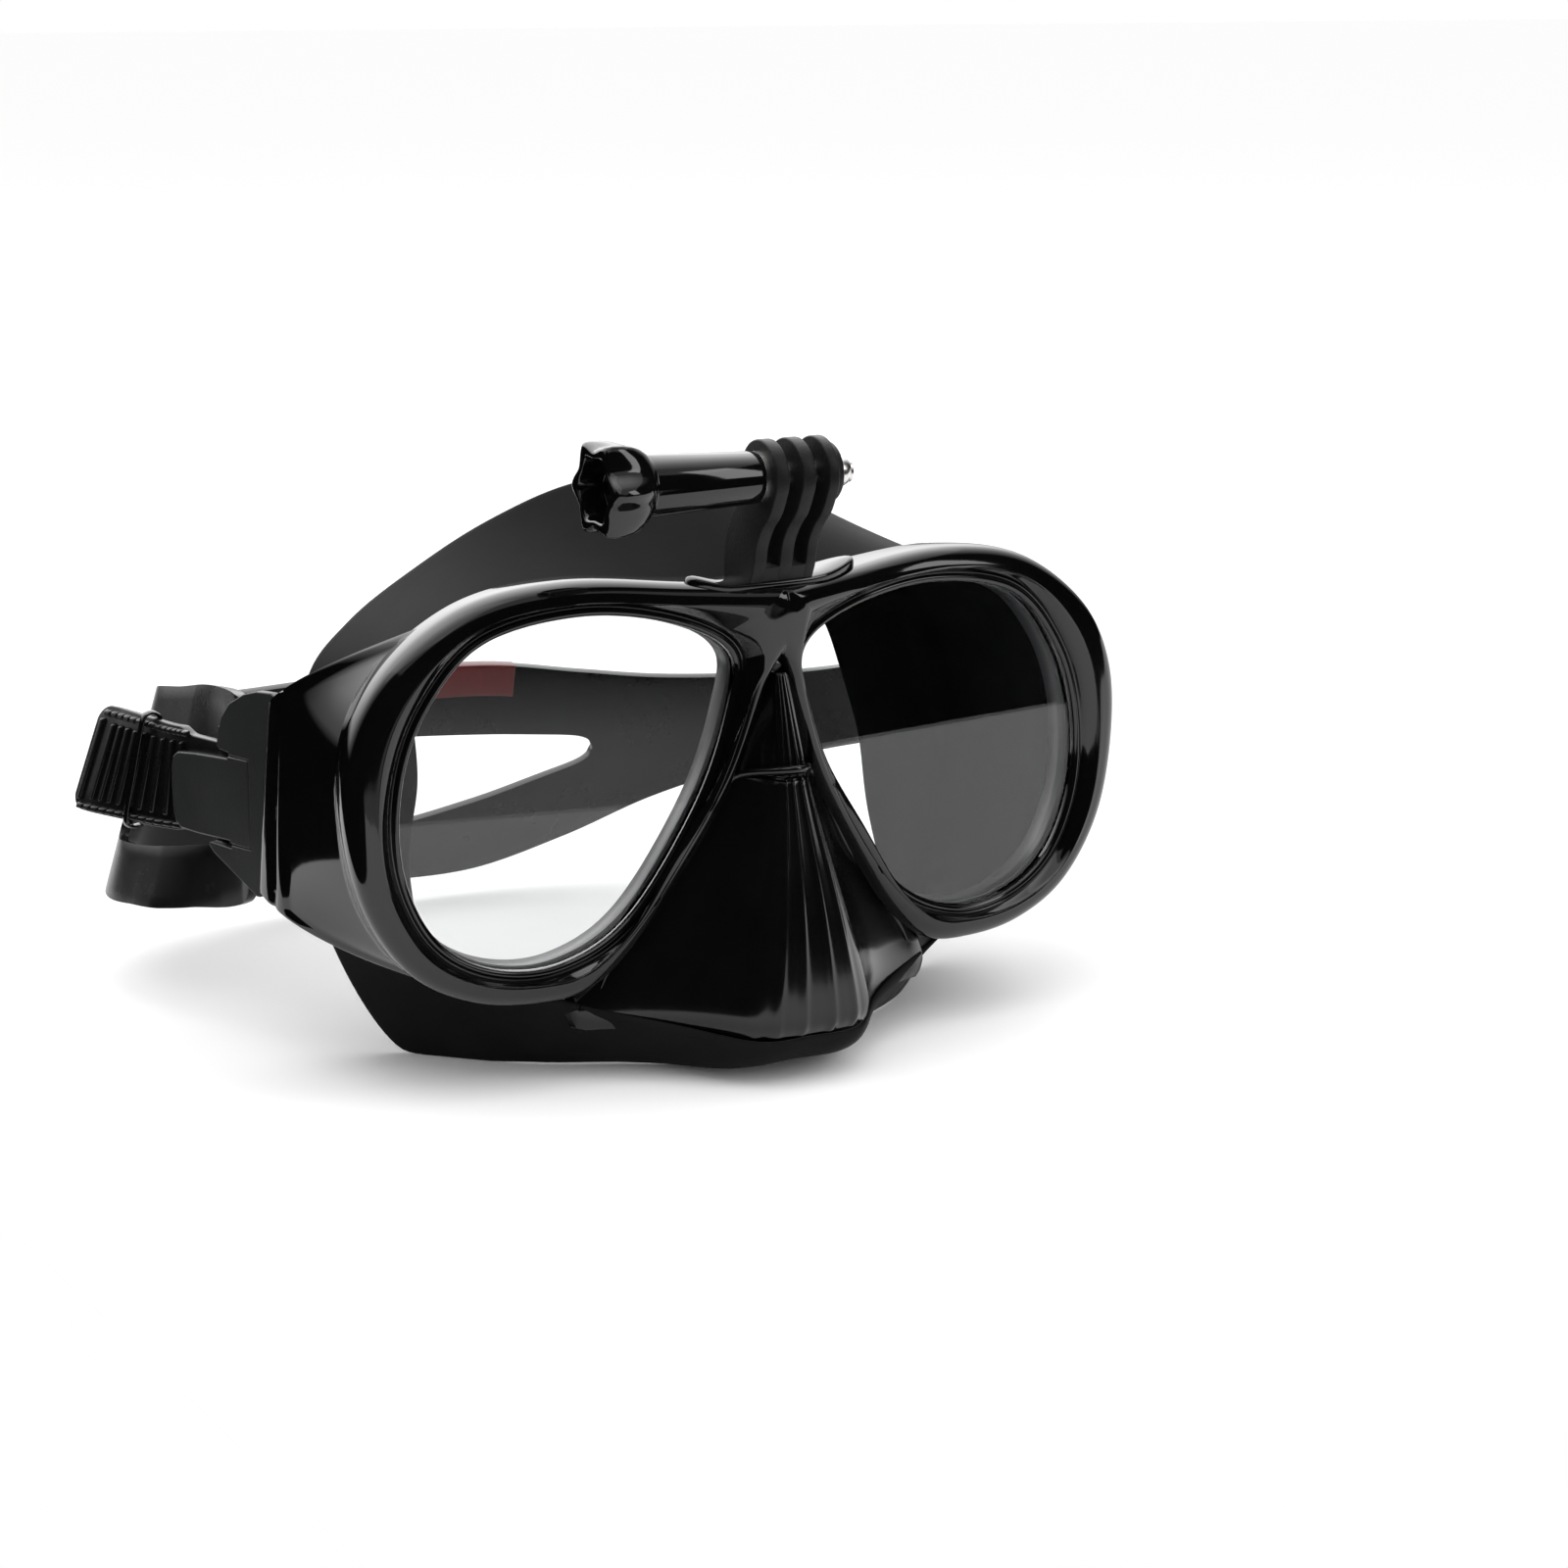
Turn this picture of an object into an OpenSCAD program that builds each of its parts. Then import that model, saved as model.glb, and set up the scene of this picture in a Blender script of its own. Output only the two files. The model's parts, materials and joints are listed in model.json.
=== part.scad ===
// Snorkel mask: two-lens frame, soft skirt, accessory mount, buckles and split strap.
// Millimetres. X runs to the right of someone who faces the lenses, Y runs back into the
// head and Z runs up. The mask stands on the lower edge of its skirt, at z = 0.

/* [Lenses] */
// Glass thickness
glass_t = 3; // [2:0.5:4]
// Depth of the lens front face behind the bridge
glass_y = 6.5; // [6:0.5:9]
// Sweep back of each lens, degrees
wrap_angle = 4.7; // [2:0.1:8]
// Width of glass held under the rim
glass_land = 2; // [1:0.5:3]

/* [Frame] */
// Depth of the front bezel
bezel_d = 6; // [4:0.5:8]
// Depth of the inner frame behind the bezel
inner_d = 4.5; // [3:0.5:7]
// Thickness of the wing walls
wing_t = 2.5; // [2:0.1:3]
// Half width of the frame at the rear end of the wings
wing_x = 93.8; // [93:0.1:96]

/* [Skirt] */
// Wall thickness of the skirt
skirt_t = 2; // [1.5:0.5:3]
// Width of the feather edge that turns in against the face
seal_w = 11; // [6:1:16]

/* [Accessory mount] */
// Height of the clamp hole above the floor
hole_z = 125.8; // [123:0.1:128]
// Distance of the clamp hole in front of the bridge
hole_lean = 3; // [2:0.5:5]
// Diameter of the round prong heads
head_d = 15; // [14:0.5:16]
// Thickness of each prong
prong_t = 3; // [2.8:0.1:3.1]
// Gap between prongs
gap_w = 3.1; // [3:0.1:3.4]
// Thread diameter of the clamp screw
screw_d = 5; // [4.8:0.1:5]
// Diameter of the lobed knob
knob_d = 20; // [16:1:24]
// Length of the knob's barrel
barrel_l = 27; // [20:1:34]

/* [Buckles] */
// Height of the swivel pin above the floor
pivot_z = 57; // [55:0.5:60]
// Distance of the swivel pin behind the bridge
pivot_y = 46; // [45:0.5:48]
// Distance of the strap roller behind the bridge
roller_y = 72; // [71:0.5:74]
// Half distance between the two strap rollers
roller_x = 90; // [89.5:0.5:91]
// Roller diameter
roller_d = 5.2; // [5:0.1:5.6]

/* [Strap] */
// Strap thickness
strap_t = 2.2; // [1.8:0.1:2.4]
// Width of the strap where it runs through the buckles
strap_w = 20; // [18:0.5:20]
// Outward lean of the strap round the back of the head, degrees
strap_lean = 16; // [8:1:18]

/* [Hidden] */

right = 1;
left = -1;
origin_y = 76.35;            // moves the origin under the middle of the whole mask
gap = 0.3;                   // play between pieces that move past each other
run = 0.05;                  // radial play of a running fit
steps = 5;                   // curve pieces between two outline points
rim_y = glass_y - 3;         // front face of the rims
bezel_back = rim_y + bezel_d;
black = [0.05, 0.05, 0.055];
soft = [0.1, 0.1, 0.1];
matte = [0.16, 0.16, 0.16];
steel = [0.75, 0.75, 0.76];
clear = [0.75, 0.8, 0.82, 0.4];
red = [0.7, 0.08, 0.08];

// Visible edge of one glass, as x and z, clockwise from the inner top corner
glass_pts = [[9.5, 88.5], [22, 95.5], [42, 98.5], [63, 94.5], [75, 82], [80.5, 67],
             [80.5, 50], [74, 35.5], [62, 28], [47, 27.5], [32, 36], [17, 58], [10, 77]];

// Outer edge of one half of the frame, as x and z, from the brow to the top of the V
rim_pts = [[-14, 102], [0, 101.5], [20, 103.5], [45, 105.5], [66, 102.5], [83, 91],
           [91, 77], [92.2, 60], [88.5, 42], [79, 28], [66, 21], [52, 19.2], [41, 21],
           [30, 30.5], [19.7, 45.5], [9.5, 62.5], [3.5, 78], [0, 87.6], [-8, 88]];

// Half of the ring where the skirt meets the frame, from the brow to below the nose
skirt_front = [[0, 14, 97], [21, 15, 100], [43, 17, 101], [62, 18, 96], [75, 20, 86],
               [79.5, 21, 70], [79.5, 21, 52], [76, 20, 35], [61, 18, 24], [42, 12, 16.5],
               [24, 1, 12], [12, -11.5, 10], [0, -13, 10]];

// Half of the ring where the skirt meets the face
skirt_back = [[0, 55, 121], [20, 57, 120], [37, 60, 116.5], [51, 65, 108.5], [66, 70, 94],
              [75.5, 72, 79], [78, 66, 53], [76, 66, 27], [62.5, 52.5, 0.5], [45, 31.5, -0.5],
              [29, 21.5, -0.5], [15, 14, -0.3], [0, 13, 2]];

// Plan of the strap from the left roller to the right one, as x and y
strap_plan = [[-86, 72], [-86, 77.4], [-86, 80], [-87.5, 100], [-90, 120], [-90, 137],
              [-82, 149.5], [-66, 154.5], [-45, 156], [-20, 156.5], [5, 156], [28, 154],
              [48, 149.5], [67, 141.5], [82, 131], [89.5, 116], [88, 98], [86, 83], [86, 72]];
// Heights of the strap's upper and lower edges at those points, from its middle line
strap_up = [10, 10, 18, 20.5, 20.5, 21, 20, 18.5, 19, 20, 19, 15, 11.5, 9.5, 9, 9.5,
            10, 10, 10];
strap_down = [10, 10, 26, 28, 27.5, 27.5, 27, 30, 33, 35, 35, 29, 21, 15.5, 12.5, 10.5,
              10, 10, 10];
// Heights of the slots' upper and lower edges from the middle line, and where the slots run
slot_up = [0, 0, 4, 5, 5, 5, 5, 4, 4, 3, 1, -1.5, -2, 0, 0, 0, 0, 0, 0];
slot_down = [0, 0, 14, 13.5, 12.5, 10, 15, 19, 22.5, 21, 16.5, 10.5, 8, 0, 0, 0, 0, 0, 0];
side_slot = [2.5, 5.25];
back_slot = [7.25, 11.25];
// Plan of a strap tail, from the roller to its free end
tail_plan = [[94, 72], [96.7, 82], [100.5, 96], [104.5, 110], [107, 119]];

function spline(a, b, c, d, t) =
    0.5 * (2 * b + (c - a) * t + (2 * a - 5 * b + 4 * c - d) * t * t
           + (3 * b - a - 3 * c + d) * t * t * t);
function loop(p, n = steps) =
    [for (i = [0 : len(p) - 1], k = [0 : n - 1])
        spline(p[(i + len(p) - 1) % len(p)], p[i], p[(i + 1) % len(p)],
               p[(i + 2) % len(p)], k / n)];
function course(p, n = steps) =
    let (m = len(p) - 1)
    [for (i = [0 : m - 1], k = [0 : i == m - 1 ? n : n - 1])
        spline(p[max(i - 1, 0)], p[i], p[i + 1], p[min(i + 2, m)], k / n)];
function unit(v) = v / norm(v);
function outward(p, i, closed = true) =
    let (m = len(p), a = closed ? p[(i + m - 1) % m] : p[max(i - 1, 0)],
         b = closed ? p[(i + 1) % m] : p[min(i + 1, m - 1)], d = unit([b.x - a.x, b.y - a.y]))
    [-d.y, d.x];
function grown(p, by) = [for (i = [0 : len(p) - 1]) p[i] + by * outward(p, i)];
function both_halves(p) =
    concat(p, [for (i = [len(p) - 2 : -1 : 1]) [-p[i].x, p[i].y, p[i].z]]);
function slope_z(y) = pivot_z - 0.19 * max(y - 76, 0);

glass = loop(glass_pts);
rim = [for (q = course(rim_pts)) if (q.x > -6) q];

// A closed tube or ring of solid: rings of points joined to each other in order
module skin(rings, closed) {
    n = len(rings[0]);
    m = len(rings);
    pts = [for (ring = rings, q = ring) q];
    sides = [for (i = [0 : m - (closed ? 1 : 2)], k = [0 : n - 1])
        let (j = (i + 1) % m, l = (k + 1) % n)
        each [[i * n + k, j * n + k, j * n + l], [i * n + k, j * n + l, i * n + l]]];
    ends = closed ? [] : [[for (k = [0 : n - 1]) k],
                          [for (k = [n - 1 : -1 : 0]) (m - 1) * n + k]];
    polyhedron(pts, concat(sides, ends));
}

module sided(s) { if (s > 0) children(); else mirror([1, 0, 0]) children(); }

// Everything below is drawn about the bridge and then moved to the part's own origin
module placed() { translate([0, -origin_y, 0]) children(); }

// A plate standing in the swept-back plane of one lens
module lens_plane(y0, d) {
    rotate([0, 0, wrap_angle]) translate([0, y0 + d, 0])
        rotate([90, 0, 0]) linear_extrude(d) children();
}
// A plate in the side plane, drawn as y and z, that starts at x0
module side_plate(x0, t) {
    translate([x0, 0, 0]) rotate([90, 0, 90]) linear_extrude(t) children();
}

module right_side() {
    intersection() {
        children();
        translate([0, -50, -10]) cube([150, 250, 200]);
    }
}

// ---- Frame ----
module half_bezel() {
    right_side() difference() {
        lens_plane(rim_y, bezel_d) polygon(rim);
        lens_plane(rim_y - 1, bezel_d + 2) polygon(glass);
        lens_plane(glass_y, bezel_d) polygon(grown(glass, glass_land + 2));
    }
}
module brow(s) {
    hull() {
        translate([0, -0.5, 97]) sphere(4.5, $fn = 24);
        translate([s * 30, 5.5, 101.2]) sphere(3.4, $fn = 24);
    }
}
module front_bezel() {
    color(black) placed() {
        half_bezel();
        mirror([1, 0, 0]) half_bezel();
        brow(right);
        brow(left);
    }
}

// Wing: a thin wall from the rim back to the buckle
wing_front = 13.5;
wing_back_top = [45, 81];
wing_back_low = [54.5, 38];
module wing() {
    difference() {
        hull() {
            side_plate(89.4, 2.4) polygon([[wing_front, 35], [wing_front + 4, 35],
                [wing_front + 4, 86], [wing_front, 86]]);
            side_plate(wing_x - wing_t, wing_t) polygon([[wing_back_top.x - 3, wing_back_top.y],
                wing_back_top, wing_back_low, [wing_back_low.x - 3, wing_back_low.y]]);
        }
        swivel_bore(wing_x - wing_t - 1, 3);
    }
}
module swivel_bore(x0, l, r = screw_d * 0.3) {
    translate([x0, pivot_y, pivot_z]) rotate([0, 90, 0]) cylinder(h = l, r = r, $fn = 48);
}
module half_inner() {
    right_side() difference() {
        lens_plane(bezel_back, inner_d) polygon(grown(rim, -1.5));
        lens_plane(bezel_back - 1, inner_d + 2) polygon(grown(glass, 0.5));
    }
    wing();
}
module inner_frame() {
    color(black) placed() {
        half_inner();
        mirror([1, 0, 0]) half_inner();
    }
}

// Panel inside the V of the frame, with ridges that fan out from its top
bridge_low = 63;
bridge_w = 8.6;
module nose_bridge() {
    color(black) placed() {
        hull() {
            translate([-bridge_w, 0, bridge_low]) cube([2 * bridge_w, rim_y, 1]);
            translate([-bridge_w + 2.5, -3, bridge_low]) cube([2 * bridge_w - 5, 4, 1]);
            translate([-0.8, 1, 84.5]) cube([1.6, rim_y - 1, 1]);
        }
        for (s = [-0.75, -0.25, 0.25, 0.75]) hull() {
            translate([s * 9 - 0.5, -4, bridge_low]) cube([1, 4, 1]);
            translate([s * 1.4 - 0.3, 0.4, 83.5]) cube([0.6, 1, 1]);
        }
    }
}

// ---- Lenses ----
module lens(s) {
    color(clear) placed() sided(s)
        lens_plane(glass_y, glass_t) polygon(grown(glass, glass_land));
}
module lens_seal(s) {
    color(soft) placed() sided(s) difference() {
        lens_plane(glass_y, glass_t) polygon(grown(glass, glass_land + 2));
        lens_plane(glass_y - 1, glass_t + 2) polygon(grown(glass, glass_land));
    }
}

// ---- Skirt ----
module skirt() {
    front = loop(both_halves(skirt_front), 3);
    back = loop(both_halves(skirt_back), 3);
    mid = [0, 44, 60];
    walls = [for (i = [0 : len(front) - 1])
        let (a = front[i], b = back[i], h = (a + b) / 2,
             o = unit([h.x - mid.x, 0, h.z - mid.z]), bulge = h + 1.5 * o,
             in_b = b - seal_w * unit([b.x, 6, b.z - 62]))
        [a - skirt_t * o, bulge - skirt_t * o, b - [0, skirt_t, 0] - skirt_t * o,
         in_b + [0, -1, 0], in_b, b, bulge, a]];
    color(soft) placed() difference() {
        union() {
            skin(walls, true);
            nose_pocket();
        }
        translate([-100, -50, -10]) cube([200, 200, 10]);
    }
}
// Horizontal cut of the nose pocket wall: half width and depth at the frame, then at the ridge
function pocket_cut(z, wide, deep, ridge, front) =
    [[wide - skirt_t, deep, z], [ridge - skirt_t * 0.6, front + skirt_t, z],
     [-ridge + skirt_t * 0.6, front + skirt_t, z], [-wide + skirt_t, deep, z],
     [-wide, deep, z], [-ridge, front, z], [ridge, front, z], [wide, deep, z]];
module nose_pocket() {
    skin([for (c = [[8.5, 24, 1, 12, -13], [17, 43, 14, 12.3, -13.5], [28, 30, 13, 10, -12],
                    [45, 18.5, 11, 6.5, -8.5], [bridge_low - gap, 8.8, 9, 3.5, -4.2]])
        pocket_cut(c[0], c[1], c[2], c[3], c[4])], false);
}

// ---- Accessory mount and its screw ----
pack_w = 3 * prong_t + 2 * gap_w;
boss_d = 12.8;
boss_l = 4;
washer_t = 1;
saddle_z = 101;
module x_rod(x0, l, r, f = 64) {
    translate([x0, -hole_lean, hole_z]) rotate([0, 90, 0]) cylinder(h = l, r = r, $fn = f);
}
module accessory_mount() {
    slot_z = saddle_z + 6;
    color(matte) placed() difference() {
        union() {
            side_plate(-pack_w / 2, pack_w)
                polygon([[-0.5, saddle_z - 2], [-0.5, 109], [-3, 114], [-9, 121], [-3, 129],
                         [4, 124], [7.5, 119], [11, 112], [11.5, saddle_z - 2]]);
            x_rod(-pack_w / 2, pack_w, head_d / 2);
            x_rod(pack_w / 2, boss_l, boss_d / 2);
            hull() for (s = [left, right]) {
                translate([s * 14, 8.5, saddle_z - 2]) cylinder(h = 4.5, r = 6, $fn = 32);
                translate([s * 17.5, 9.5, saddle_z - 2]) cylinder(h = 2, r = 3, $fn = 32);
            }
        }
        for (s = [left, right]) {
            translate([s * (prong_t + gap_w) / 2 - gap_w / 2, -20, slot_z])
                cube([gap_w, 40, 40]);
            translate([s * (prong_t + gap_w) / 2, -20, slot_z])
                rotate([-90, 0, 0]) cylinder(h = 40, r = gap_w / 2, $fn = 32);
        }
        x_rod(-pack_w, 2 * pack_w + 10, screw_d / 2 + run);
        x_rod(pack_w / 2 + 1, boss_l, 4.5, 6);
    }
}
screw_head_x = -pack_w / 2 - washer_t - 0.02;
barrel_d = 11.4;
knob_l = 8;
shank_grip = 12;             // length of the screw held inside the barrel
// Outline of the knob: round lobes with hollows between them
function lobed(n, r, depth) =
    [for (a = [0 : 5 : 355]) (r - depth * pow(abs(sin(n * a / 2)), 1.5)) * [cos(a), sin(a)]];
module thumb_knob() {
    knob_x = screw_head_x - barrel_l - knob_l;
    color(black) placed() difference() {
        union() {
            x_rod(screw_head_x - barrel_l - 1, barrel_l + 1, barrel_d / 2);
            translate([0, -hole_lean, hole_z])
                side_plate(knob_x, knob_l) polygon(lobed(6, knob_d / 2, 2.4));
        }
        x_rod(knob_x - 1, 6, 5.2, 6);
        x_rod(screw_head_x - shank_grip, shank_grip + 8, screw_d / 2);
    }
}
module screw_shank() {
    color(steel) placed()
        x_rod(screw_head_x - shank_grip, shank_grip - screw_head_x + pack_w / 2 + 5.5, screw_d / 2);
}
module screw_washer() {
    color(steel) placed() difference() {
        x_rod(-pack_w / 2 - washer_t - 0.01, washer_t, 5.2);
        x_rod(-pack_w, pack_w, screw_d / 2 + run);
    }
}
module dome_nut() {
    color(steel) placed() difference() {
        union() {
            x_rod(pack_w / 2 + 1, 3.8, 4.5, 6);
            x_rod(pack_w / 2 + 1, 5.6, 3.4);
            translate([pack_w / 2 + 6.6, -hole_lean, hole_z]) intersection() {
                sphere(3.4, $fn = 64);
                translate([0, -5, -5]) cube(10);
            }
        }
        x_rod(0, pack_w / 2 + 6.4, screw_d / 2 + run);
    }
}

// ---- Buckles ----
pin_r = screw_d * 0.3;
lug_x = 83.2;
lug_t = 2.4;
cover_lean = 15;
cover_x = 88.2;
cover_t = 1.9;
cheek_low = pivot_z - strap_w / 2 - 2.9;
cheek_top = pivot_z + strap_w / 2 + 0.5;
tab_half = 8.6;
module swivel_pin(s) {
    color(steel) placed() sided(s) {
        swivel_bore(lug_x - gap, wing_x - wing_t + 2 - lug_x + gap);
        swivel_bore(lug_x - gap - 1.2, 1.2, 3);
    }
}
module on_roller(z0, h, r) {
    translate([roller_x, roller_y, z0]) cylinder(h = h, r = r, $fn = 48);
}
// Upper or lower cheek of the buckle, drawn in plan
module cheek(z0) {
    difference() {
        translate([0, 0, z0]) linear_extrude(2.4)
            polygon([[lug_x, 51], [88.2, 51], [93, 66], [94.3, 74], [91, 76.2], [87, 76.2],
                     [lug_x, 70]]);
        on_roller(z0 - 1, 5, pin_r);
    }
}
module buckle_body(s) {
    color(black) placed() sided(s) {
        difference() {
            union() {
                side_plate(lug_x, lug_t) polygon([[pivot_y - 5, 52], [51, cheek_low],
                    [66, cheek_low], [66, cheek_top + 2.4], [51, cheek_top + 2.4],
                    [pivot_y - 5, 62]]);
                swivel_bore(lug_x + lug_t - 0.5, 4.6, 3.6);
            }
            swivel_bore(lug_x - 1, 12, pin_r + run);
        }
        cheek(cheek_low);
        cheek(cheek_top);
    }
}
// Frame of the buckle's outer plate: its own y runs back and outwards along the plate
module cover_plane() { translate([cover_x, 46, 0]) rotate([0, 0, -cover_lean]) children(); }
module buckle_cover(s) {
    tab_root = 12;
    color(matte) placed() sided(s) cover_plane() difference() {
        side_plate(0, cover_t) polygon([[3.2, 73], [7, 79], [14, 80], [19, 77], [26, cheek_top],
            [26, cheek_low], [12.5, 36], [11.6, 38], [10.8, 42]]);
        side_plate(-1, 4) polygon([[tab_root, pivot_z - tab_half - 1],
            [40, pivot_z - tab_half - 1], [40, pivot_z + tab_half + 1],
            [tab_root, pivot_z + tab_half + 1]]);
        for (z = [-1, 1]) translate([cover_t / 2, tab_root + 2.5, pivot_z])
            translate([0, 0, z > 0 ? tab_half : -tab_half - 4]) cylinder(h = 4, r = 0.6, $fn = 32);
    }
}
module buckle_tab(s) {
    color(matte) placed() sided(s) cover_plane() difference() {
        union() {
            side_plate(0.3, cover_t - 0.3) polygon([[14.5, pivot_z - tab_half],
                [34, pivot_z - tab_half], [36, pivot_z - tab_half + 2],
                [36, pivot_z + tab_half - 2], [34, pivot_z + tab_half],
                [14.5, pivot_z + tab_half]]);
            translate([cover_t / 2, 14.5, pivot_z - tab_half])
                cylinder(h = 2 * tab_half, r = 1.3, $fn = 32);
        }
        translate([cover_t / 2, 14.5, 0]) cylinder(h = 150, r = 0.65, $fn = 32);
    }
}
module tab_pin(s) {
    color(steel) placed() sided(s) cover_plane()
        translate([cover_t / 2, 14.5, pivot_z - tab_half - 3])
            cylinder(h = 2 * tab_half + 6, r = 0.6, $fn = 32);
}
module strap_roller(s) {
    color(matte) placed() sided(s) difference() {
        on_roller(pivot_z - strap_w / 2 + 0.2, strap_w - 0.4, roller_d / 2);
        on_roller(0, 100, pin_r + run);
    }
}
module roller_pin(s) {
    color(steel) placed() sided(s) on_roller(cheek_low, cheek_top + 2.4 - cheek_low, pin_r);
}

// ---- Strap ----
bend_r = roller_d / 2 + gap + strap_t / 2;
// Lean of the strap: none at the buckles, full round the back
function lean_at(y) = strap_lean * min(max((y - 82) / 30, 0), 1);
// One ribbon: plan points, the heights of its lower and upper edges from its middle line, that
// line's height, its thickness and which way it leans
module ribbon(plan, low, high, mids, t = strap_t, way = 1) {
    skin([for (i = [0 : len(plan) - 1])
        let (n = outward(plan, i, false), q = plan[i], f = way * tan(lean_at(q.y)))
        [for (c = [[-1, low[i]], [1, low[i]], [1, high[i]], [-1, high[i]]])
            [q.x + n.x * (c[0] * t / 2 - f * c[1]), q.y + n.y * (c[0] * t / 2 - f * c[1]),
             mids[i] + c[1]]]], false);
}
grain = 4;                   // ribbon pieces between two plan points
plan = course(strap_plan, grain);
up = course(strap_up, grain);
down = course(strap_down, grain);
mids = [for (q = plan) slope_z(q.y)];
function cut(a, b, list) = [for (i = [a : b]) list[i]];
// Half height and middle of a slot at step i, rounded off at both ends of its stretch
function slot_half(i, run) =
    let (t = (i / grain - run[0]) / (run[1] - run[0]),
         open = (course(slot_up, grain)[i] + course(slot_down, grain)[i]) / 2)
    max(0.05, open * sqrt(max(0, 1 - pow(abs(2 * t - 1), 6))));
function slot_mid(i) = (course(slot_up, grain)[i] - course(slot_down, grain)[i]) / 2;
module strap_stretch(a, b) {
    ribbon(cut(a, b, plan), -cut(a, b, down), cut(a, b, up), cut(a, b, mids));
}
module slotted(run) {
    a = run[0] * grain - 1;
    b = run[1] * grain + 1;
    above = [for (i = [a : b]) slot_mid(i) + slot_half(i, run)];
    below = [for (i = [a : b]) slot_mid(i) - slot_half(i, run)];
    ribbon(cut(a, b, plan), above, cut(a, b, up), cut(a, b, mids));
    ribbon(cut(a, b, plan), -cut(a, b, down), below, cut(a, b, mids));
}
module strap_end(s) {
    turn = [for (a = [180 : 20 : 360])
        [roller_x + bend_r * cos(a), roller_y + bend_r * sin(a)]];
    path = concat(turn, course(tail_plan, 4));
    half = [for (q = path) strap_w / 2];
    sided(s) ribbon(path, -half, half, [for (q = path) pivot_z], way = -1);
}
module strap() {
    color(soft) placed() {
        strap_end(left);
        strap_end(right);
        strap_stretch(0, side_slot[0] * grain);
        slotted(side_slot);
        strap_stretch(side_slot[1] * grain, back_slot[0] * grain);
        slotted(back_slot);
        strap_stretch(back_slot[1] * grain, len(plan) - 1);
    }
}
// Coloured inlay on the inside of the upper band
module strap_accent() {
    a = 38;
    b = 42;
    inset = [for (i = [a : b]) let (n = outward(plan, i, false)) plan[i] - n * (strap_t / 2 + 0.2)];
    color(red) placed() ribbon(inset, [for (i = inset) 8], [for (i = inset) 14.5],
                               cut(a, b, mids), 0.4);
}
// Loop that holds the tail against the band
module strap_keeper(s) {
    ky = 100;
    kx = 88.2;
    wide = 15.2;
    color(soft) placed() sided(s) translate([kx, ky, pivot_z - 3.5]) rotate([90, 0, 0])
        linear_extrude(3) difference() {
            translate([-4, -14.5]) square([wide + 8, 33]);
            translate([-2.6, -13.1]) square([wide + 5.2, 30.2]);
        }
}

front_bezel();
inner_frame();
nose_bridge();
lens(left);  // lens_left
lens(right);  // lens_right
lens_seal(left);  // lens_seal_left
lens_seal(right);  // lens_seal_right
skirt();
accessory_mount();
thumb_knob();
screw_shank();
screw_washer();
dome_nut();
swivel_pin(left);  // swivel_pin_left
swivel_pin(right);  // swivel_pin_right
buckle_body(left);  // buckle_body_left
buckle_body(right);  // buckle_body_right
buckle_cover(left);  // buckle_cover_left
buckle_cover(right);  // buckle_cover_right
buckle_tab(left);  // buckle_tab_left
buckle_tab(right);  // buckle_tab_right
tab_pin(left);  // tab_pin_left
tab_pin(right);  // tab_pin_right
strap_roller(left);  // strap_roller_left
strap_roller(right);  // strap_roller_right
roller_pin(left);  // roller_pin_left
roller_pin(right);  // roller_pin_right
strap();
strap_accent();
strap_keeper(left);  // strap_keeper_left
strap_keeper(right);  // strap_keeper_right
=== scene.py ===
"""Snorkel mask: the look of every piece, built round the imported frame. Lengths in mm are turned
into the frame's metres by at(), which counts y from the bridge of the nose."""
import json
import math
import bmesh
import bpy
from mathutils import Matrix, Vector


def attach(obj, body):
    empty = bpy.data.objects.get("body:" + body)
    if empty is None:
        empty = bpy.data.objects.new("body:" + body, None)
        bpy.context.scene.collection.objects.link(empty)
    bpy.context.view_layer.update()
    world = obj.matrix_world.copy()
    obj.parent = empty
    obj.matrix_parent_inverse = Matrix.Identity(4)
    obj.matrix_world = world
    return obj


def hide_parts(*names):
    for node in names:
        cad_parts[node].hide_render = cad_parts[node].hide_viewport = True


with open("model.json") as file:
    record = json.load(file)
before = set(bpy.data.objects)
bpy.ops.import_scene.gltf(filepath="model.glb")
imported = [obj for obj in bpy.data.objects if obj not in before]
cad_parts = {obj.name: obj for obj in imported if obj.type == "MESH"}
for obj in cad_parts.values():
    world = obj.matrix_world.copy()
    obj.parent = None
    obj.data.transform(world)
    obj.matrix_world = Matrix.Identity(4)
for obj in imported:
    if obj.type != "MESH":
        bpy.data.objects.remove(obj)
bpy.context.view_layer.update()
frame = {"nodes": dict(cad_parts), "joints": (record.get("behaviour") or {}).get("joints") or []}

MM = 0.001
JOINTS = {joint["name"]: joint for joint in frame["joints"]}
PIVOT_Y = 46.0                      # swivel pins behind the bridge
PIVOT_Z = JOINTS["strap_swing"]["pos_m"][2] / MM
BRIDGE_Y = JOINTS["strap_swing"]["pos_m"][1] - PIVOT_Y * MM
ROLLER_X = JOINTS["roller_turn_right"]["pos_m"][0] / MM
ROLLER_Y = (JOINTS["roller_turn_right"]["pos_m"][1] - BRIDGE_Y) / MM
HOLE_Z = JOINTS["screw_turn"]["pos_m"][2] / MM
HOLE_Y = (JOINTS["screw_turn"]["pos_m"][1] - BRIDGE_Y) / MM
LEFT, RIGHT = -1, 1
SIDES = (("left", LEFT), ("right", RIGHT))


def at(p):
    """Millimetres about the bridge to metres in the frame."""
    return (p[0] * MM, p[1] * MM + BRIDGE_Y, p[2] * MM)


# ---------------------------------------------------------------- camera and light
CAMERA_PLACE = (-353.2, -611.8, 224.5)
CAMERA_TARGET = (0.0, 0.0, 61.4)


def look_from(obj, place, target):
    obj.location = place
    obj.rotation_euler = (Vector(target) - Vector(place)).to_track_quat("-Z", "Y").to_euler()


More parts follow.
